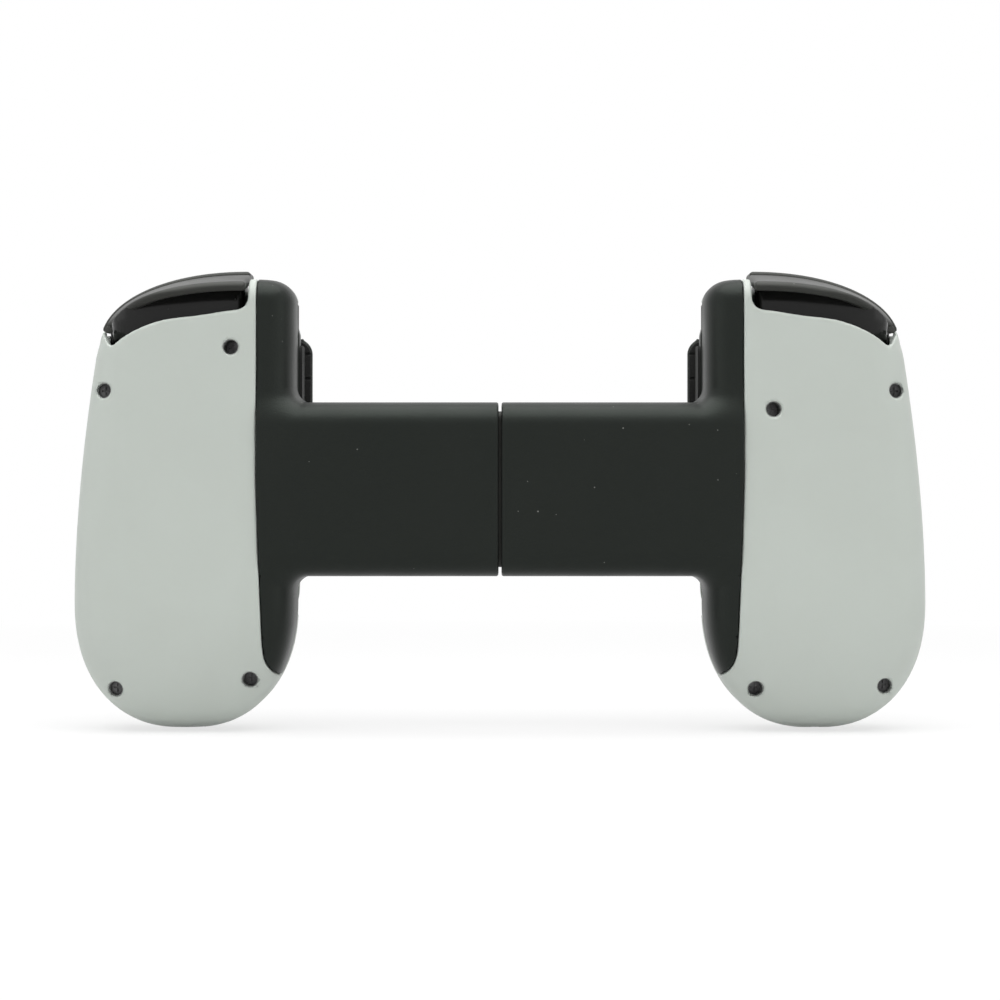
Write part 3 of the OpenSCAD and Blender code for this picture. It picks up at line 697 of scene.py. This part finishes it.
@dataclass
class ShoulderControls:
    """Trigger and bumper at the outer corner of a grip."""

    grip: GripForm
    visor: Spot = (30.4, 14.6)
    visor_drop: Spot = (1.3, 2.6)
    visor_t: float = 1.9
    visor_y: float = 0.3
    visor_end: float = 32.4
    visor_in: float = 51.6
    visor_box: Box = ((51.5, -12.6, 32.2), (84.0, 0.4, 44.7))
    lip_turn: Spot = (60.0, 44.0)
    lip_y: Spot = (-1.2, 11.2)
    bumper: Spot = (30.9, 15.4)
    bumper_t: float = 2.2
    bumper_y: Spot = (0.9, 8.6)
    bumper_end: float = 32.8
    bumper_in: float = 51.95
    bumper_box: Box = ((51.9, 0.8, 32.5), (84.0, 8.7, 45.7))
    hinge: Spot = (3.0, 36.0)
    skirt_r: float = 12.3
    skirt_core: float = 3.0
    skirt_t: float = 1.4
    skirt_u: Spot = (52.2, 80.2)
    skirt_foot: float = 21.2
    skirt_arc: Spot = (29.0, 12.2)
    skirt_box: Box = ((52.0, -9.6, 23.0), (81.1, 0.0, 42.5))
    skirt_y: float = 0.1
    tongue_z: Spot = (30.0, 33.6)
    cell: float = 0.35

    def _lip(self, p: Array) -> Array:
        """Depth of the visor's lip along the arc."""
        start, run = self.lip_turn
        bend = clamp((start - self.grip.turn(p)) / run)
        return self.lip_y[0] - self.lip_y[1] * (1.0 - bend ** 2)

    def _dome(self, p: Array) -> Array:
        """Top of the visor: it sinks from the hinge to the lip."""
        share = np.clip((self.visor_y - p[:, 1]) / (self.visor_y - self._lip(p)), 0.0, 1.1)
        a, b = (axis - drop * share for axis, drop in zip(self.visor, self.visor_drop))
        return self.grip.arc(p, a, b)

    def visor_shape(self, p: Array) -> Array:
        """Distance field of the visor of the left trigger."""
        top = levelled(self._dome, p)
        body = meet(top, levelled(lambda q: self._lip(q) - q[:, 1], p), 1.1)
        body = meet(body, p[:, 1] - self.visor_y, RIM)
        body = meet(body, self.visor_in - p[:, 0], 0.8)
        body = meet(body, self.visor_end - p[:, 2], 0.4)
        return cut(body, top + self.visor_t, 0.4)

    def skirt_shape(self, p: Array) -> Array:
        """Distance field of the glossy skirt of the left trigger."""
        u0, u1 = self.skirt_u

        def drum(q: Array) -> Array:
            """Revolved skirt with a rounded outer end."""
            along = np.maximum(q[:, 0] - u0, 0.0) / (u1 - u0)
            out = np.hypot(q[:, 1] - self.hinge[0], q[:, 2] - self.hinge[1]) - self.skirt_core
            out = np.maximum(out, 0.0) / (self.skirt_r - self.skirt_core)
            return (along ** 4 + out ** 4 + TINY) ** 0.25 - 1.0

        def floor(q: Array) -> Array:
            """Below zero above the hidden lower edge, which follows the pocket."""
            return self.grip.over_arch(q[:, 0], np.maximum(q[:, 2] - self.skirt_foot, 0.0))
        skin = meet(levelled(drum, p), u0 - p[:, 0], 2.0)
        body = both(skin, -skin - self.skirt_t)
        body = both(body, levelled(lambda q: self.grip.arc(q, *self.skirt_arc), p))
        body = both(both(body, p[:, 1] + self.skirt_y), levelled(floor, p))
        z0, z1 = self.tongue_z
        return either(body, block(p, (u1 - 1.3, -1.0, z0), (u1 + 0.5, -self.skirt_y, z1), 0.25))

    def bumper_shape(self, p: Array) -> Array:
        """Distance field of the left bumper."""
        top = levelled(lambda q: self.grip.arc(q, *self.bumper), p)
        body = meet(top, between(p[:, 1], *self.bumper_y), 0.9)
        body = meet(body, self.bumper_in - p[:, 0], 0.8)
        body = meet(body, self.bumper_end - p[:, 2], 0.8)
        return cut(body, top + self.bumper_t, RIM)

    def build(self) -> None:
        """Nets the controls once and places them on both sides."""
        visor = Net.over(self.visor_shape, *self.visor_box, self.cell)
        skirt = Net.over(self.skirt_shape, *self.skirt_box, self.cell)
        bumper = Net.over(self.bumper_shape, *self.bumper_box, self.cell)
        for side in Side:
            trigger, bar = side.named("trigger"), side.named("bumper")
            visor.place(side, trigger + "_visor", trigger, "dark_controls", DARK_CONTROL, trigger)
            skirt.place(side, trigger + "_skirt", trigger, "dark_controls", GLOSS_CONTROL)
            bumper.place(side, bar + "_bar", bar, "dark_controls", DARK_CONTROL, bar)


@dataclass
class StickCap:
    """Rubber cap of a thumbstick with the hollow ball that shows under it."""

    side: Side
    spot: Spot
    pivot_y: float = 4.0
    ball_r: float = 8.4
    ball_y: float = 7.0
    ball_t: float = 1.3
    post_r: float = 1.6
    post_y: Spot = (2.8, 12.0)
    neck_r: float = 3.8
    neck_y: Spot = (10.0, 19.0)
    cap_y: Spot = (17.2, 20.2)
    cap_r: float = 7.8
    dish_r: float = 22.2
    dish_deep: float = 1.0
    ribs: int = 60
    rib: Triple = (0.09, 6.4, 0.8)
    ring: Triple = (4.6, 0.6, 0.28)
    cell: float = 0.3

    def shape(self, p: Array) -> Array:
        """Distance field of the left-hand form."""
        y, r, top = p[:, 1], radius(p, self.spot), self.cap_y[1]
        turn = np.arctan2(p[:, 2] - self.spot[1], p[:, 0] - self.spot[0])
        round_form = np.hypot(r, y - self.pivot_y) - self.ball_r
        ball = both(meet(round_form, self.ball_y - y, 0.4), -round_form - self.ball_t)
        post = both(r - self.post_r, between(y, *self.post_y))
        deep, start, run = self.rib
        rib = deep * (1.0 + np.cos(self.ribs * turn)) * clamp((r - start) / run)
        disc = meet(r - self.cap_r + rib, between(y, *self.cap_y), 1.3)
        disc = cut(disc, np.hypot(r, y - top - self.dish_r + self.dish_deep) - self.dish_r, 0.35)
        ring_r, sunk, bead = self.ring
        disc = join(disc, np.hypot(r - ring_r, y - top + sunk) - bead, 0.2)
        neck = both(r - self.neck_r, between(y, *self.neck_y))
        return either(join(join(ball, neck, 0.8), disc, 0.8), post)

    def build(self) -> None:
        """Nets the cap and places it."""
        (u, z), r = self.spot, self.ball_r + 0.2
        low, high = (u - r, self.post_y[0], z - r), (u + r, self.cap_y[1], z + r)
        net = Net.over(self.shape, low, high, self.cell)
        node = self.side.named("stick_cap")
        net.place(self.side, node + "_rubber", node, "grip_rubber", GRIP_RUBBER, node)


@dataclass
class RoundButton:
    """Push button with a slightly crowned top."""

    node: str
    side: Side
    spot: Spot
    r: float
    y: Spot
    edge: float
    crown: float
    cell: float = 0.25

    def shape(self, p: Array) -> Array:
        """Distance field of the left-hand form."""
        r = radius(p, self.spot)
        top = self.y[1] - self.crown * (r / self.r) ** 2
        return meet(r - self.r, between(p[:, 1], self.y[0], top), self.edge)

    def build(self) -> None:
        """Nets the button and places it."""
        (u, z), r = self.spot, self.r
        net = Net.over(self.shape, (u - r, self.y[0], z - r), (u + r, self.y[1], z + r), self.cell)
        net.place(self.side, self.node + "_cap", self.node, "dark_controls", DARK_CONTROL, self.node)


@dataclass
class DirectionPad:
    """Cross-shaped pad with a dished top and a dimple on each arm."""

    spot: Spot = (65.5, -12.0)
    half: float = 10.4
    arm: float = 3.4
    y: Spot = (8.5, 13.4)
    dish_r: float = 20.0
    dish_deep: float = 0.8
    dimple_at: Spot = (8.0, 0.5)
    dimple_r: float = 1.3
    dimple_long: float = 0.7
    cell: float = 0.3

    def plan(self, p: Array, gap: float) -> Array:
        """Distance to the endless cross, widened by a gap."""
        u, z = self.spot
        bars = []
        for a, b in ((self.half, self.arm), (self.arm, self.half)):
            a, b = a + gap, b + gap
            bars.append(rounded_plan(p, (u - a, z - b), (u + a, z + b), 1.0 + gap))
        return join(bars[0], bars[1], 0.6)

    def shape(self, p: Array) -> Array:
        """Distance field of the pad."""
        body = meet(self.plan(p, 0.0), between(p[:, 1], *self.y), 0.7)
        top = p[:, 1] - self.y[1]
        dish = np.hypot(radius(p, self.spot), top - self.dish_r + self.dish_deep) - self.dish_r
        body = cut(body, dish, 0.4)
        out, high = self.dimple_at
        for turn in range(4):
            c, s = math.cos(math.pi / 2 * turn), math.sin(math.pi / 2 * turn)
            du, dz = p[:, 0] - self.spot[0] - out * c, p[:, 2] - self.spot[1] - out * s
            along, across = du * c + dz * s, dz * c - du * s
            far = np.sqrt((along / self.dimple_long) ** 2 + across ** 2 + (top - high) ** 2)
            body = cut(body, far - self.dimple_r, 0.25)
        return body

    def build(self) -> None:
        """Nets the pad and places it."""
        (u, z), h = self.spot, self.half
        net = Net.over(self.shape, (u - h, self.y[0], z - h), (u + h, self.y[1], z + h), self.cell)
        node = "direction_pad"
        net.place(Side.LEFT, node + "_cross", node, "dark_controls", DARK_CONTROL, node)


class Wiring:
    """Adds and links the nodes of one shader tree."""

    def __init__(self, tree: Tree) -> None:
        """Keeps the tree."""
        self.tree = tree

    def add(self, kind: str, inputs: dict | None = None, **settings: object) -> Node:
        """Adds a node.

        Args:
            kind: Node type without its ShaderNode prefix.
            inputs: Values or sockets for the node's inputs, by name or number.
            settings: Properties of the node.

        Returns:
            The new node.
        """
        node = self.tree.nodes.new("ShaderNode" + kind)
        for name, value in settings.items():
            setattr(node, name, value)
        self.fill(node, inputs or {})
        return node

    def feed(self, socket: Socket, value: object) -> None:
        """Links a socket to an input, or sets the input to a plain value."""
        if isinstance(value, Socket):
            self.tree.links.new(value, socket)
        else:
            socket.default_value = value

    def fill(self, node: Node, inputs: dict) -> None:
        """Feeds several inputs of a node, by name or number."""
        for name, value in inputs.items():
            self.feed(node.inputs[name], value)

    def math(self, operation: str, a: object, b: object = 0.0) -> Socket:
        """Result of a sum on two values or sockets."""
        return self.add("Math", {0: a, 1: b}, operation=operation).outputs[0]

    def ramp(self, value: object, low: float, high: float, to: Spot = (0.0, 1.0)) -> Socket:
        """Value taken from one range to another and kept inside it."""
        sockets = {"Value": value, "From Min": low, "From Max": high, "To Min": to[0], "To Max": to[1]}
        return self.add("MapRange", sockets).outputs[0]

    def tint(self, share: object, a: object, b: object) -> Socket:
        """Colour between a and b."""
        node = self.add("Mix", data_type="RGBA")
        for name, value in (("Factor", share), ("A", a), ("B", b)):
            value = (*value, 1.0) if isinstance(value, tuple) else value
            self.feed(next(s for s in node.inputs if s.name == name and s.enabled), value)
        return next(s for s in node.outputs if s.enabled)

    def bump(self, height: object, strength: float, distance: float) -> Socket:
        """Normal of a surface with a small relief, whose height is in metres."""
        return self.add("Bump", {"Strength": strength, "Distance": distance, "Height": height}).outputs[0]

    def group(self, tree: Tree, scale: float) -> Node:
        """Places the node group of an effect at a scale."""
        node = self.add("Group", node_tree=tree)
        self.fill(node, {"Scale": scale})
        return node

    def seen(self) -> Socket:
        """1 for rays from the camera and for rays in reflections and through glass."""
        rays = self.add("LightPath").outputs
        seen = self.math("MAXIMUM", rays["Is Camera Ray"], rays["Is Glossy Ray"])
        return self.math("MAXIMUM", seen, rays["Is Transmission Ray"])


class Effect(Enum):
    """Surface effects that several finishes share, each one a node group."""

    GRAIN = "mould_grain"
    MARKS = "handling_marks"
    SPECKS = "dust_specks"
    SCRATCHES = "fine_scratches"

    def tree(self) -> Tree:
        """The effect's node group, built on first use."""
        found = bpy.data.node_groups.get(self.value)
        if found:
            return found
        tree = bpy.data.node_groups.new(self.value, "ShaderNodeTree")
        wiring = Wiring(tree)
        tree.interface.new_socket("Scale", in_out="INPUT", socket_type="NodeSocketFloat")
        entry = wiring.tree.nodes.new("NodeGroupInput")
        coordinates = wiring.add("TexCoord").outputs["Object"]
        results = getattr(self, "_" + self.name.lower())(wiring, entry.outputs["Scale"], coordinates)
        for name in results:
            tree.interface.new_socket(name, in_out="OUTPUT", socket_type="NodeSocketFloat")
        leave = wiring.tree.nodes.new("NodeGroupOutput")
        for name, socket in results.items():
            wiring.feed(leave.inputs[name], socket)
        return tree

    @staticmethod
    def _grain(w: Wiring, scale: object, at: object) -> dict[str, object]:
        """Spark-eroded grain of a mould: a height and a soft tone."""
        fine = w.add("TexNoise", {"Vector": at, "Scale": scale, "Detail": 3.0, "Roughness": 0.65})
        coarse = w.add("TexNoise", {"Vector": at, "Scale": w.math("MULTIPLY", scale, 0.05), "Detail": 2.0})
        return {"Height": fine.outputs[0], "Tone": w.ramp(coarse.outputs[0], 0.3, 0.7)}

    @staticmethod
    def _marks(w: Wiring, scale: object, at: object) -> dict[str, object]:
        """Broad smudges where hands have been."""
        warp = w.add("TexNoise", {"Vector": at, "Scale": scale, "Detail": 4.0, "Distortion": 0.6})
        return {"Mask": w.ramp(warp.outputs[0], 0.42, 0.72)}

    @staticmethod
    def _specks(w: Wiring, scale: object, at: object) -> dict[str, object]:
        """Scattered specks of dust of different sizes."""
        cells = w.add("TexVoronoi", {"Vector": at, "Scale": scale})
        split = w.add("SeparateColor", {"Color": cells.outputs["Color"]})
        size = w.ramp(split.outputs[0], 0.8, 1.0, (0.0, 0.1))
        return {"Mask": w.math("LESS_THAN", cells.outputs["Distance"], size)}

    @staticmethod
    def _scratches(w: Wiring, scale: object, at: object) -> dict[str, object]:
        """Hairline scratches, drawn long on the slant."""
        lean = w.add("Mapping", {"Vector": at, "Rotation": (0.3, 0.5, 0.9), "Scale": (1.0, 1.0, 0.03)})
        lines = w.add("TexNoise", {"Vector": lean.outputs[0], "Scale": scale, "Detail": 1.0})
        return {"Mask": w.ramp(lines.outputs[0], 0.66, 0.74)}


def new_material(name: str) -> tuple[Material, Wiring, Node]:
    """Starts a material.

    Args:
        name: Name of the finish.

    Returns:
        The material, its wiring and its Principled shader.
    """
    material = bpy.data.materials.new(name)
    material.use_nodes = True
    wiring = Wiring(material.node_tree)
    return material, wiring, material.node_tree.nodes["Principled BSDF"]


@dataclass(frozen=True)
class Finish:
    """Look of a material. A subclass gives the inputs of its shader."""

    name: str

    def inputs(self, w: Wiring) -> dict[str, object]:
        """Values and sockets by the name of the shader's input."""
        raise NotImplementedError

    @cache
    def material(self) -> Material:
        """The material of this finish, built on first use."""
        material, w, shader = new_material(self.name)
        w.fill(shader, self.inputs(w))
        return material


@dataclass(frozen=True)
class MouldedPlastic(Finish):
    """Injection-moulded plastic with mould grain, smudges, scratches and dust."""

    colour: Colour
    worn: Colour
    rough: Spot
    grain: float = 2600.0
    depth: float = 0.25
    specular: float = 0.5
    smudge: float = 0.5
    dust: float = 0.0
    scratch: float = 0.1
    sheen: Colour = (1.0, 1.0, 1.0)
    scratch_colour: Colour = (0.6, 0.6, 0.58)
    dust_colour: Colour = (0.5, 0.5, 0.48)

    def inputs(self, w: Wiring) -> dict[str, object]:
        """Inputs of the shader."""
        grain = w.group(Effect.GRAIN.tree(), self.grain).outputs
        marks = w.group(Effect.MARKS.tree(), 46.0).outputs["Mask"]
        lines = w.group(Effect.SCRATCHES.tree(), 900.0).outputs["Mask"]
        specks = w.group(Effect.SPECKS.tree(), 520.0).outputs["Mask"]
        colour = w.tint(w.math("MULTIPLY", marks, self.smudge), self.colour, self.worn)
        colour = w.tint(w.math("MULTIPLY", lines, self.scratch), colour, self.scratch_colour)
        colour = w.tint(w.math("MULTIPLY", specks, self.dust), colour, self.dust_colour)
        return {
            "Base Color": colour,
            "Roughness": w.ramp(grain["Tone"], 0.0, 1.0, self.rough),
            "Normal": w.bump(grain["Height"], self.depth, 0.00012),
            "Specular IOR Level": self.specular,
            "Specular Tint": (*self.sheen, 1.0),
        }


@dataclass(frozen=True)
class TurnedMetal(Finish):
    """Plated steel with drawn lines and a little tarnish."""

    colour: Colour = (0.56, 0.56, 0.55)
    tarnish: Colour = (0.34, 0.33, 0.31)
    rough: Spot = (0.22, 0.4)

    def inputs(self, w: Wiring) -> dict[str, object]:
        """Inputs of the shader."""
        marks = w.group(Effect.MARKS.tree(), 160.0).outputs["Mask"]
        lines = w.group(Effect.SCRATCHES.tree(), 2400.0).outputs["Mask"]
        return {
            "Base Color": w.tint(marks, self.colour, self.tarnish),
            "Roughness": w.ramp(marks, 0.0, 1.0, self.rough),
            "Normal": w.bump(lines, 0.2, 0.00005),
            "Metallic": 1.0,
        }


@dataclass(frozen=True)
class BoardLacquer(Finish):
    """Green solder mask with raised tracks and plated pads."""

    mask: Colour = (0.012, 0.11, 0.05)
    track: Colour = (0.02, 0.17, 0.08)
    plate: Colour = (0.62, 0.47, 0.2)
    rough: Spot = (0.35, 0.25)

    def inputs(self, w: Wiring) -> dict[str, object]:
        """Inputs of the shader."""
        at = w.add("TexCoord").outputs["Object"]
        net = w.add("TexVoronoi", {"Vector": at, "Scale": 260.0}, distance="MANHATTAN", feature="F1")
        tracks = w.ramp(w.math("FRACT", w.math("MULTIPLY", net.outputs["Distance"], 5.0)), 0.5, 0.56)
        pads = w.group(Effect.SPECKS.tree(), 420.0).outputs["Mask"]
        return {
            "Base Color": w.tint(pads, w.tint(tracks, self.mask, self.track), self.plate),
            "Metallic": pads,
            "Roughness": w.ramp(tracks, 0.0, 1.0, self.rough),
            "Normal": w.bump(tracks, 0.4, 0.00004),
        }


@dataclass(frozen=True)
class FlatCable(Finish):
    """Amber film with copper tracks along it."""

    film: Colour = (0.32, 0.13, 0.02)
    copper: Colour = (0.55, 0.27, 0.12)
    worn: Colour = (0.12, 0.05, 0.01)
    rough: Spot = (0.3, 0.42)

    def inputs(self, w: Wiring) -> dict[str, object]:
        """Inputs of the shader."""
        at = w.add("TexCoord").outputs["Object"]
        bands = w.add("TexWave", {"Vector": at, "Scale": 420.0}, bands_direction="Z")
        tracks = w.ramp(bands.outputs["Fac"], 0.55, 0.65)
        marks = w.math("MULTIPLY", w.group(Effect.MARKS.tree(), 90.0).outputs["Mask"], 0.3)
        return {
            "Base Color": w.tint(marks, w.tint(tracks, self.film, self.copper), self.worn),
            "Roughness": w.ramp(tracks, 0.0, 1.0, self.rough),
        }


@dataclass(frozen=True)
class Softbox:
    """Rectangular soft light: its place, its aim and its size in metres, and its power in watts."""

    name: str
    at: Triple
    aim: Triple
    size: Spot
    power: float

    def build(self) -> None:
        """Adds the light, turned to its aim."""
        light = bpy.data.lights.new(self.name, "AREA")
        light.shape = "RECTANGLE"
        light.size, light.size_y = self.size
        light.energy = self.power
        lamp = new_object(self.name, light)
        lamp.location = self.at
        ray = Vector(self.aim) - Vector(self.at)
        lamp.rotation_euler = ray.to_track_quat("-Z", "Y").to_euler()


@dataclass
class Studio:
    """Pale floor, soft lights, white surroundings and the camera, in metres."""

    floor_z: float = -0.0497
    floor_half: float = 3.0
    floor_tone: float = 0.9
    glow_reach: Spot = (0.12, 0.45)
    glow_share: Spot = (0.72, 1.0)
    camera_y: float = -0.480
    camera_z: float = -0.0022
    lens: float = 83.2
    ambient: float = 0.22
    lights: tuple[Softbox, ...] = (
        Softbox("overhead_softbox", (0.0, -0.14, 0.6), (0.0, -0.14, 0.0), (1.0, 0.7), 7.0),
        Softbox("back_softbox", (0.0, -0.75, 0.75), (0.0, -0.02, 0.0), (1.1, 0.5), 0.8),
        Softbox("right_softbox", (-0.85, -0.25, 0.1), (0.0, -0.01, 0.0), (0.5, 0.5), 0.6),
        Softbox("left_softbox", (0.85, -0.25, 0.1), (0.0, -0.01, 0.0), (0.5, 0.5), 0.6),
        Softbox("front_softbox", (0.0, 0.75, 0.75), (0.0, 0.02, 0.0), (1.1, 0.5), 0.8),
    )

    def build(self) -> None:
        """Builds everything round the object."""
        self._surroundings()
        self._floor()
        for light in self.lights:
            light.build()
        self._camera()
        bpy.context.scene.view_settings.view_transform = "Standard"

    def _surroundings(self) -> None:
        """World that is white to the camera and in reflections, and soft light elsewhere."""
        world = bpy.data.worlds.new("white_surroundings")
        bpy.context.scene.world = world
        world.use_nodes = True
        w = Wiring(world.node_tree)
        strength = w.ramp(w.seen(), 0.0, 1.0, (self.ambient, 1.0))
        w.fill(world.node_tree.nodes["Background"], {"Color": WHITE, "Strength": strength})

    def _floor(self) -> None:
        """Large pale floor that keeps the shadow of the object."""
        half = self.floor_half
        corners = [(-half, -half, 0.0), (half, -half, 0.0), (half, half, 0.0), (-half, half, 0.0)]
        mesh = bpy.data.meshes.new("floor")
        mesh.from_pydata(corners, [], [(0, 1, 2, 3)])
        floor = new_object("floor", mesh)
        floor.location.z = self.floor_z
        material, w, shader = new_material("pale_floor")
        tone = (*(self.floor_tone,) * 3, 1.0)
        w.fill(shader, {"Base Color": tone, "Roughness": 0.9, "Specular IOR Level": 0.0})
        glow = w.add("Emission", {"Color": WHITE, "Strength": 1.0})
        place_at = w.add("NewGeometry").outputs["Position"]
        away = w.add("VectorMath", {0: place_at}, operation="LENGTH").outputs["Value"]
        white = w.math("MULTIPLY", w.seen(), w.ramp(away, *self.glow_reach, self.glow_share))
        mixed = w.add("MixShader", {0: white, 1: shader.outputs[0], 2: glow.outputs[0]})
        w.fill(material.node_tree.nodes["Material Output"], {"Surface": mixed.outputs[0]})
        mesh.materials.append(material)

    def _camera(self) -> None:
        """Camera behind the object, level with its middle, as in the photograph."""
        camera = bpy.data.cameras.new("camera")
        camera.lens = self.lens
        camera.sensor_width = 36.0
        camera.clip_start, camera.clip_end = 0.01, 20.0
        view = new_object("camera", camera)
        view.location = (0.0, self.camera_y, self.camera_z)
        view.rotation_euler = (math.pi / 2, 0.0, 0.0)
        bpy.context.scene.camera = view


LIGHT_SHELL = MouldedPlastic("light_shell", (0.5, 0.54, 0.5), (0.475, 0.51, 0.47), (0.42, 0.5), depth=0.12,
                             smudge=0.45, scratch=0.0)
BLACK_SHELL = MouldedPlastic("black_shell", (0.0072, 0.0082, 0.0074), (0.0092, 0.01, 0.0093), (0.34, 0.42),
                             depth=0.3, specular=0.22, dust=0.25, scratch=0.0, sheen=(0.88, 1.0, 0.9))
# Grey of the screw-hole sleeves: painted shade inside the holes.
PAINTED_SHADE_LINING = MouldedPlastic("painted_shade_lining", (0.25, 0.26, 0.25), (0.2, 0.21, 0.2), (0.4, 0.5), depth=0.2,
                             specular=0.3, scratch=0.0)
DARK_CONTROL = MouldedPlastic("dark_control", (0.018, 0.0182, 0.0168), (0.022, 0.022, 0.02), (0.38, 0.46),
                              depth=0.2, specular=0.3, dust=0.2, scratch=0.0, sheen=(0.96, 1.0, 0.93))
GLOSS_CONTROL = MouldedPlastic("gloss_control", (0.009, 0.0092, 0.0088), (0.011, 0.011, 0.0105), (0.17, 0.23),
                               depth=0.02, specular=0.25, dust=0.15, scratch=0.0)
GRIP_RUBBER = MouldedPlastic("grip_rubber", (0.016, 0.0166, 0.016), (0.023, 0.023, 0.022), (0.6, 0.75),
                             grain=1800.0, depth=0.6, specular=0.25, dust=0.3, scratch=0.0)
CARRIER_PLASTIC = MouldedPlastic("carrier_plastic", (0.6, 0.6, 0.57), (0.5, 0.5, 0.46), (0.3, 0.42),
                                 depth=0.1)
SILICONE = MouldedPlastic("silicone", (0.2, 0.2, 0.2), (0.26, 0.26, 0.25), (0.45, 0.6), depth=0.15, dust=0.3)
STEEL = TurnedMetal("steel")
BLACKENED_STEEL = TurnedMetal("blackened_steel", (0.1, 0.1, 0.1), (0.05, 0.05, 0.051), (0.3, 0.45))
BOARD = BoardLacquer("circuit_board")
CABLE = FlatCable("flat_cable")


STEEL_NODES = ("bridge_springs", "trigger_pin", "trigger_spring", "stick_yoke", "phone_plug", "charge_port")
CARRIED = dict.fromkeys(STEEL_NODES, STEEL) | {
    "screws": BLACKENED_STEEL, "circuit_board": BOARD, "button_membrane": SILICONE, "end_pad": GRIP_RUBBER,
    "stick_carrier": CARRIER_PLASTIC, "flex_cable": CABLE}

VIEW, CAPTURE = (50.2, 31.0), (57.0, -31.0)
FACES = {"outer": (74.3, 18.0), "top": (65.3, 27.0), "inner": (56.3, 18.0), "bottom": (65.3, 9.0)}
STICKS = {Side.LEFT: (66.0, 18.0), Side.RIGHT: (65.0, -12.0)}
SOCKETS = {Side.LEFT: FootSocket(6.6, 6.6), Side.RIGHT: FootSocket(11.4, 5.6)}
SCREWS = {
    Side.LEFT: ((55.4, 16.2, 1.8), (80.7, 20.1, 7.6), (78.3, -40.0, 7.1), (52.0, -40.5, 6.4)),
    Side.RIGHT: ((54.6, 28.8, 2.2), (80.7, 20.1, 7.6), (78.3, -40.6, 7.4), (50.8, -38.6, 6.2)),
}
SMALL_HOLE, FACE_HOLE, STICK_HOLE, PAD_GAP = 2.15, 4.25, 9.4, 0.6


@dataclass
class CarriedNodes:
    """CAD nodes whose shape is right: they stay and get a finish."""

    finishes: dict[str, Finish]
    plain: Finish

    def dress(self) -> None:
        """Gives every node that still shows its finish, or the plain one if none is named."""
        for name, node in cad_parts.items():
            if node.hide_render:
                continue
            finish = self.finishes.get(name.removeprefix("left_").removeprefix("right_"), self.plain)
            node.data.materials.clear()
            node.data.materials.append(finish.material())
            LOG.info("%s keeps its CAD shape as %s", name, finish.name)


def openings(side: Side, pad: DirectionPad) -> tuple[Field, ...]:
    """Distance fields of the openings in the front shell of a side."""
    holes = [(VIEW, SMALL_HOLE), (CAPTURE, SMALL_HOLE), (STICKS[side], STICK_HOLE)]
    if side is Side.RIGHT:
        holes += [(spot, FACE_HOLE) for spot in FACES.values()]
    fields = [lambda p, s=spot, r=r: bore(p, s, r) for spot, r in holes]
    if side is Side.LEFT:
        fields.append(lambda p: pad.plan(p, PAD_GAP))
    return tuple(fields)


def main() -> None:
    """Builds the studio, the pieces and their finishes."""
    logging.basicConfig(level=logging.INFO, format="%(message)s")
    Studio().build()
    grip, pad = GripForm(), DirectionPad()
    BridgeHalf(grip).build()
    ShoulderControls(grip).build()
    for side in Side:
        BackShell(side, grip, SCREWS[side], SOCKETS[side]).build()
        FrontShell(side, grip, openings(side, pad), SOCKETS[side]).build()
        PhoneCradle(side, grip).build()
        StickCap(side, STICKS[side]).build()
    pad.build()
    for name, spot in FACES.items():
        RoundButton(f"face_button_{name}", Side.RIGHT, spot, 3.9, (7.0, 14.0), 0.9, 0.25).build()
    for node, side, spot in (("view_button", Side.LEFT, VIEW), ("capture_button", Side.LEFT, CAPTURE),
                             ("menu_button", Side.RIGHT, VIEW), ("home_button", Side.RIGHT, CAPTURE)):
        RoundButton(node, side, spot, 1.8, (7.4, 12.4), 0.5, 0.1).build()
    CarriedNodes(CARRIED, DARK_CONTROL).dress()


if __name__ == "__main__":
    main()
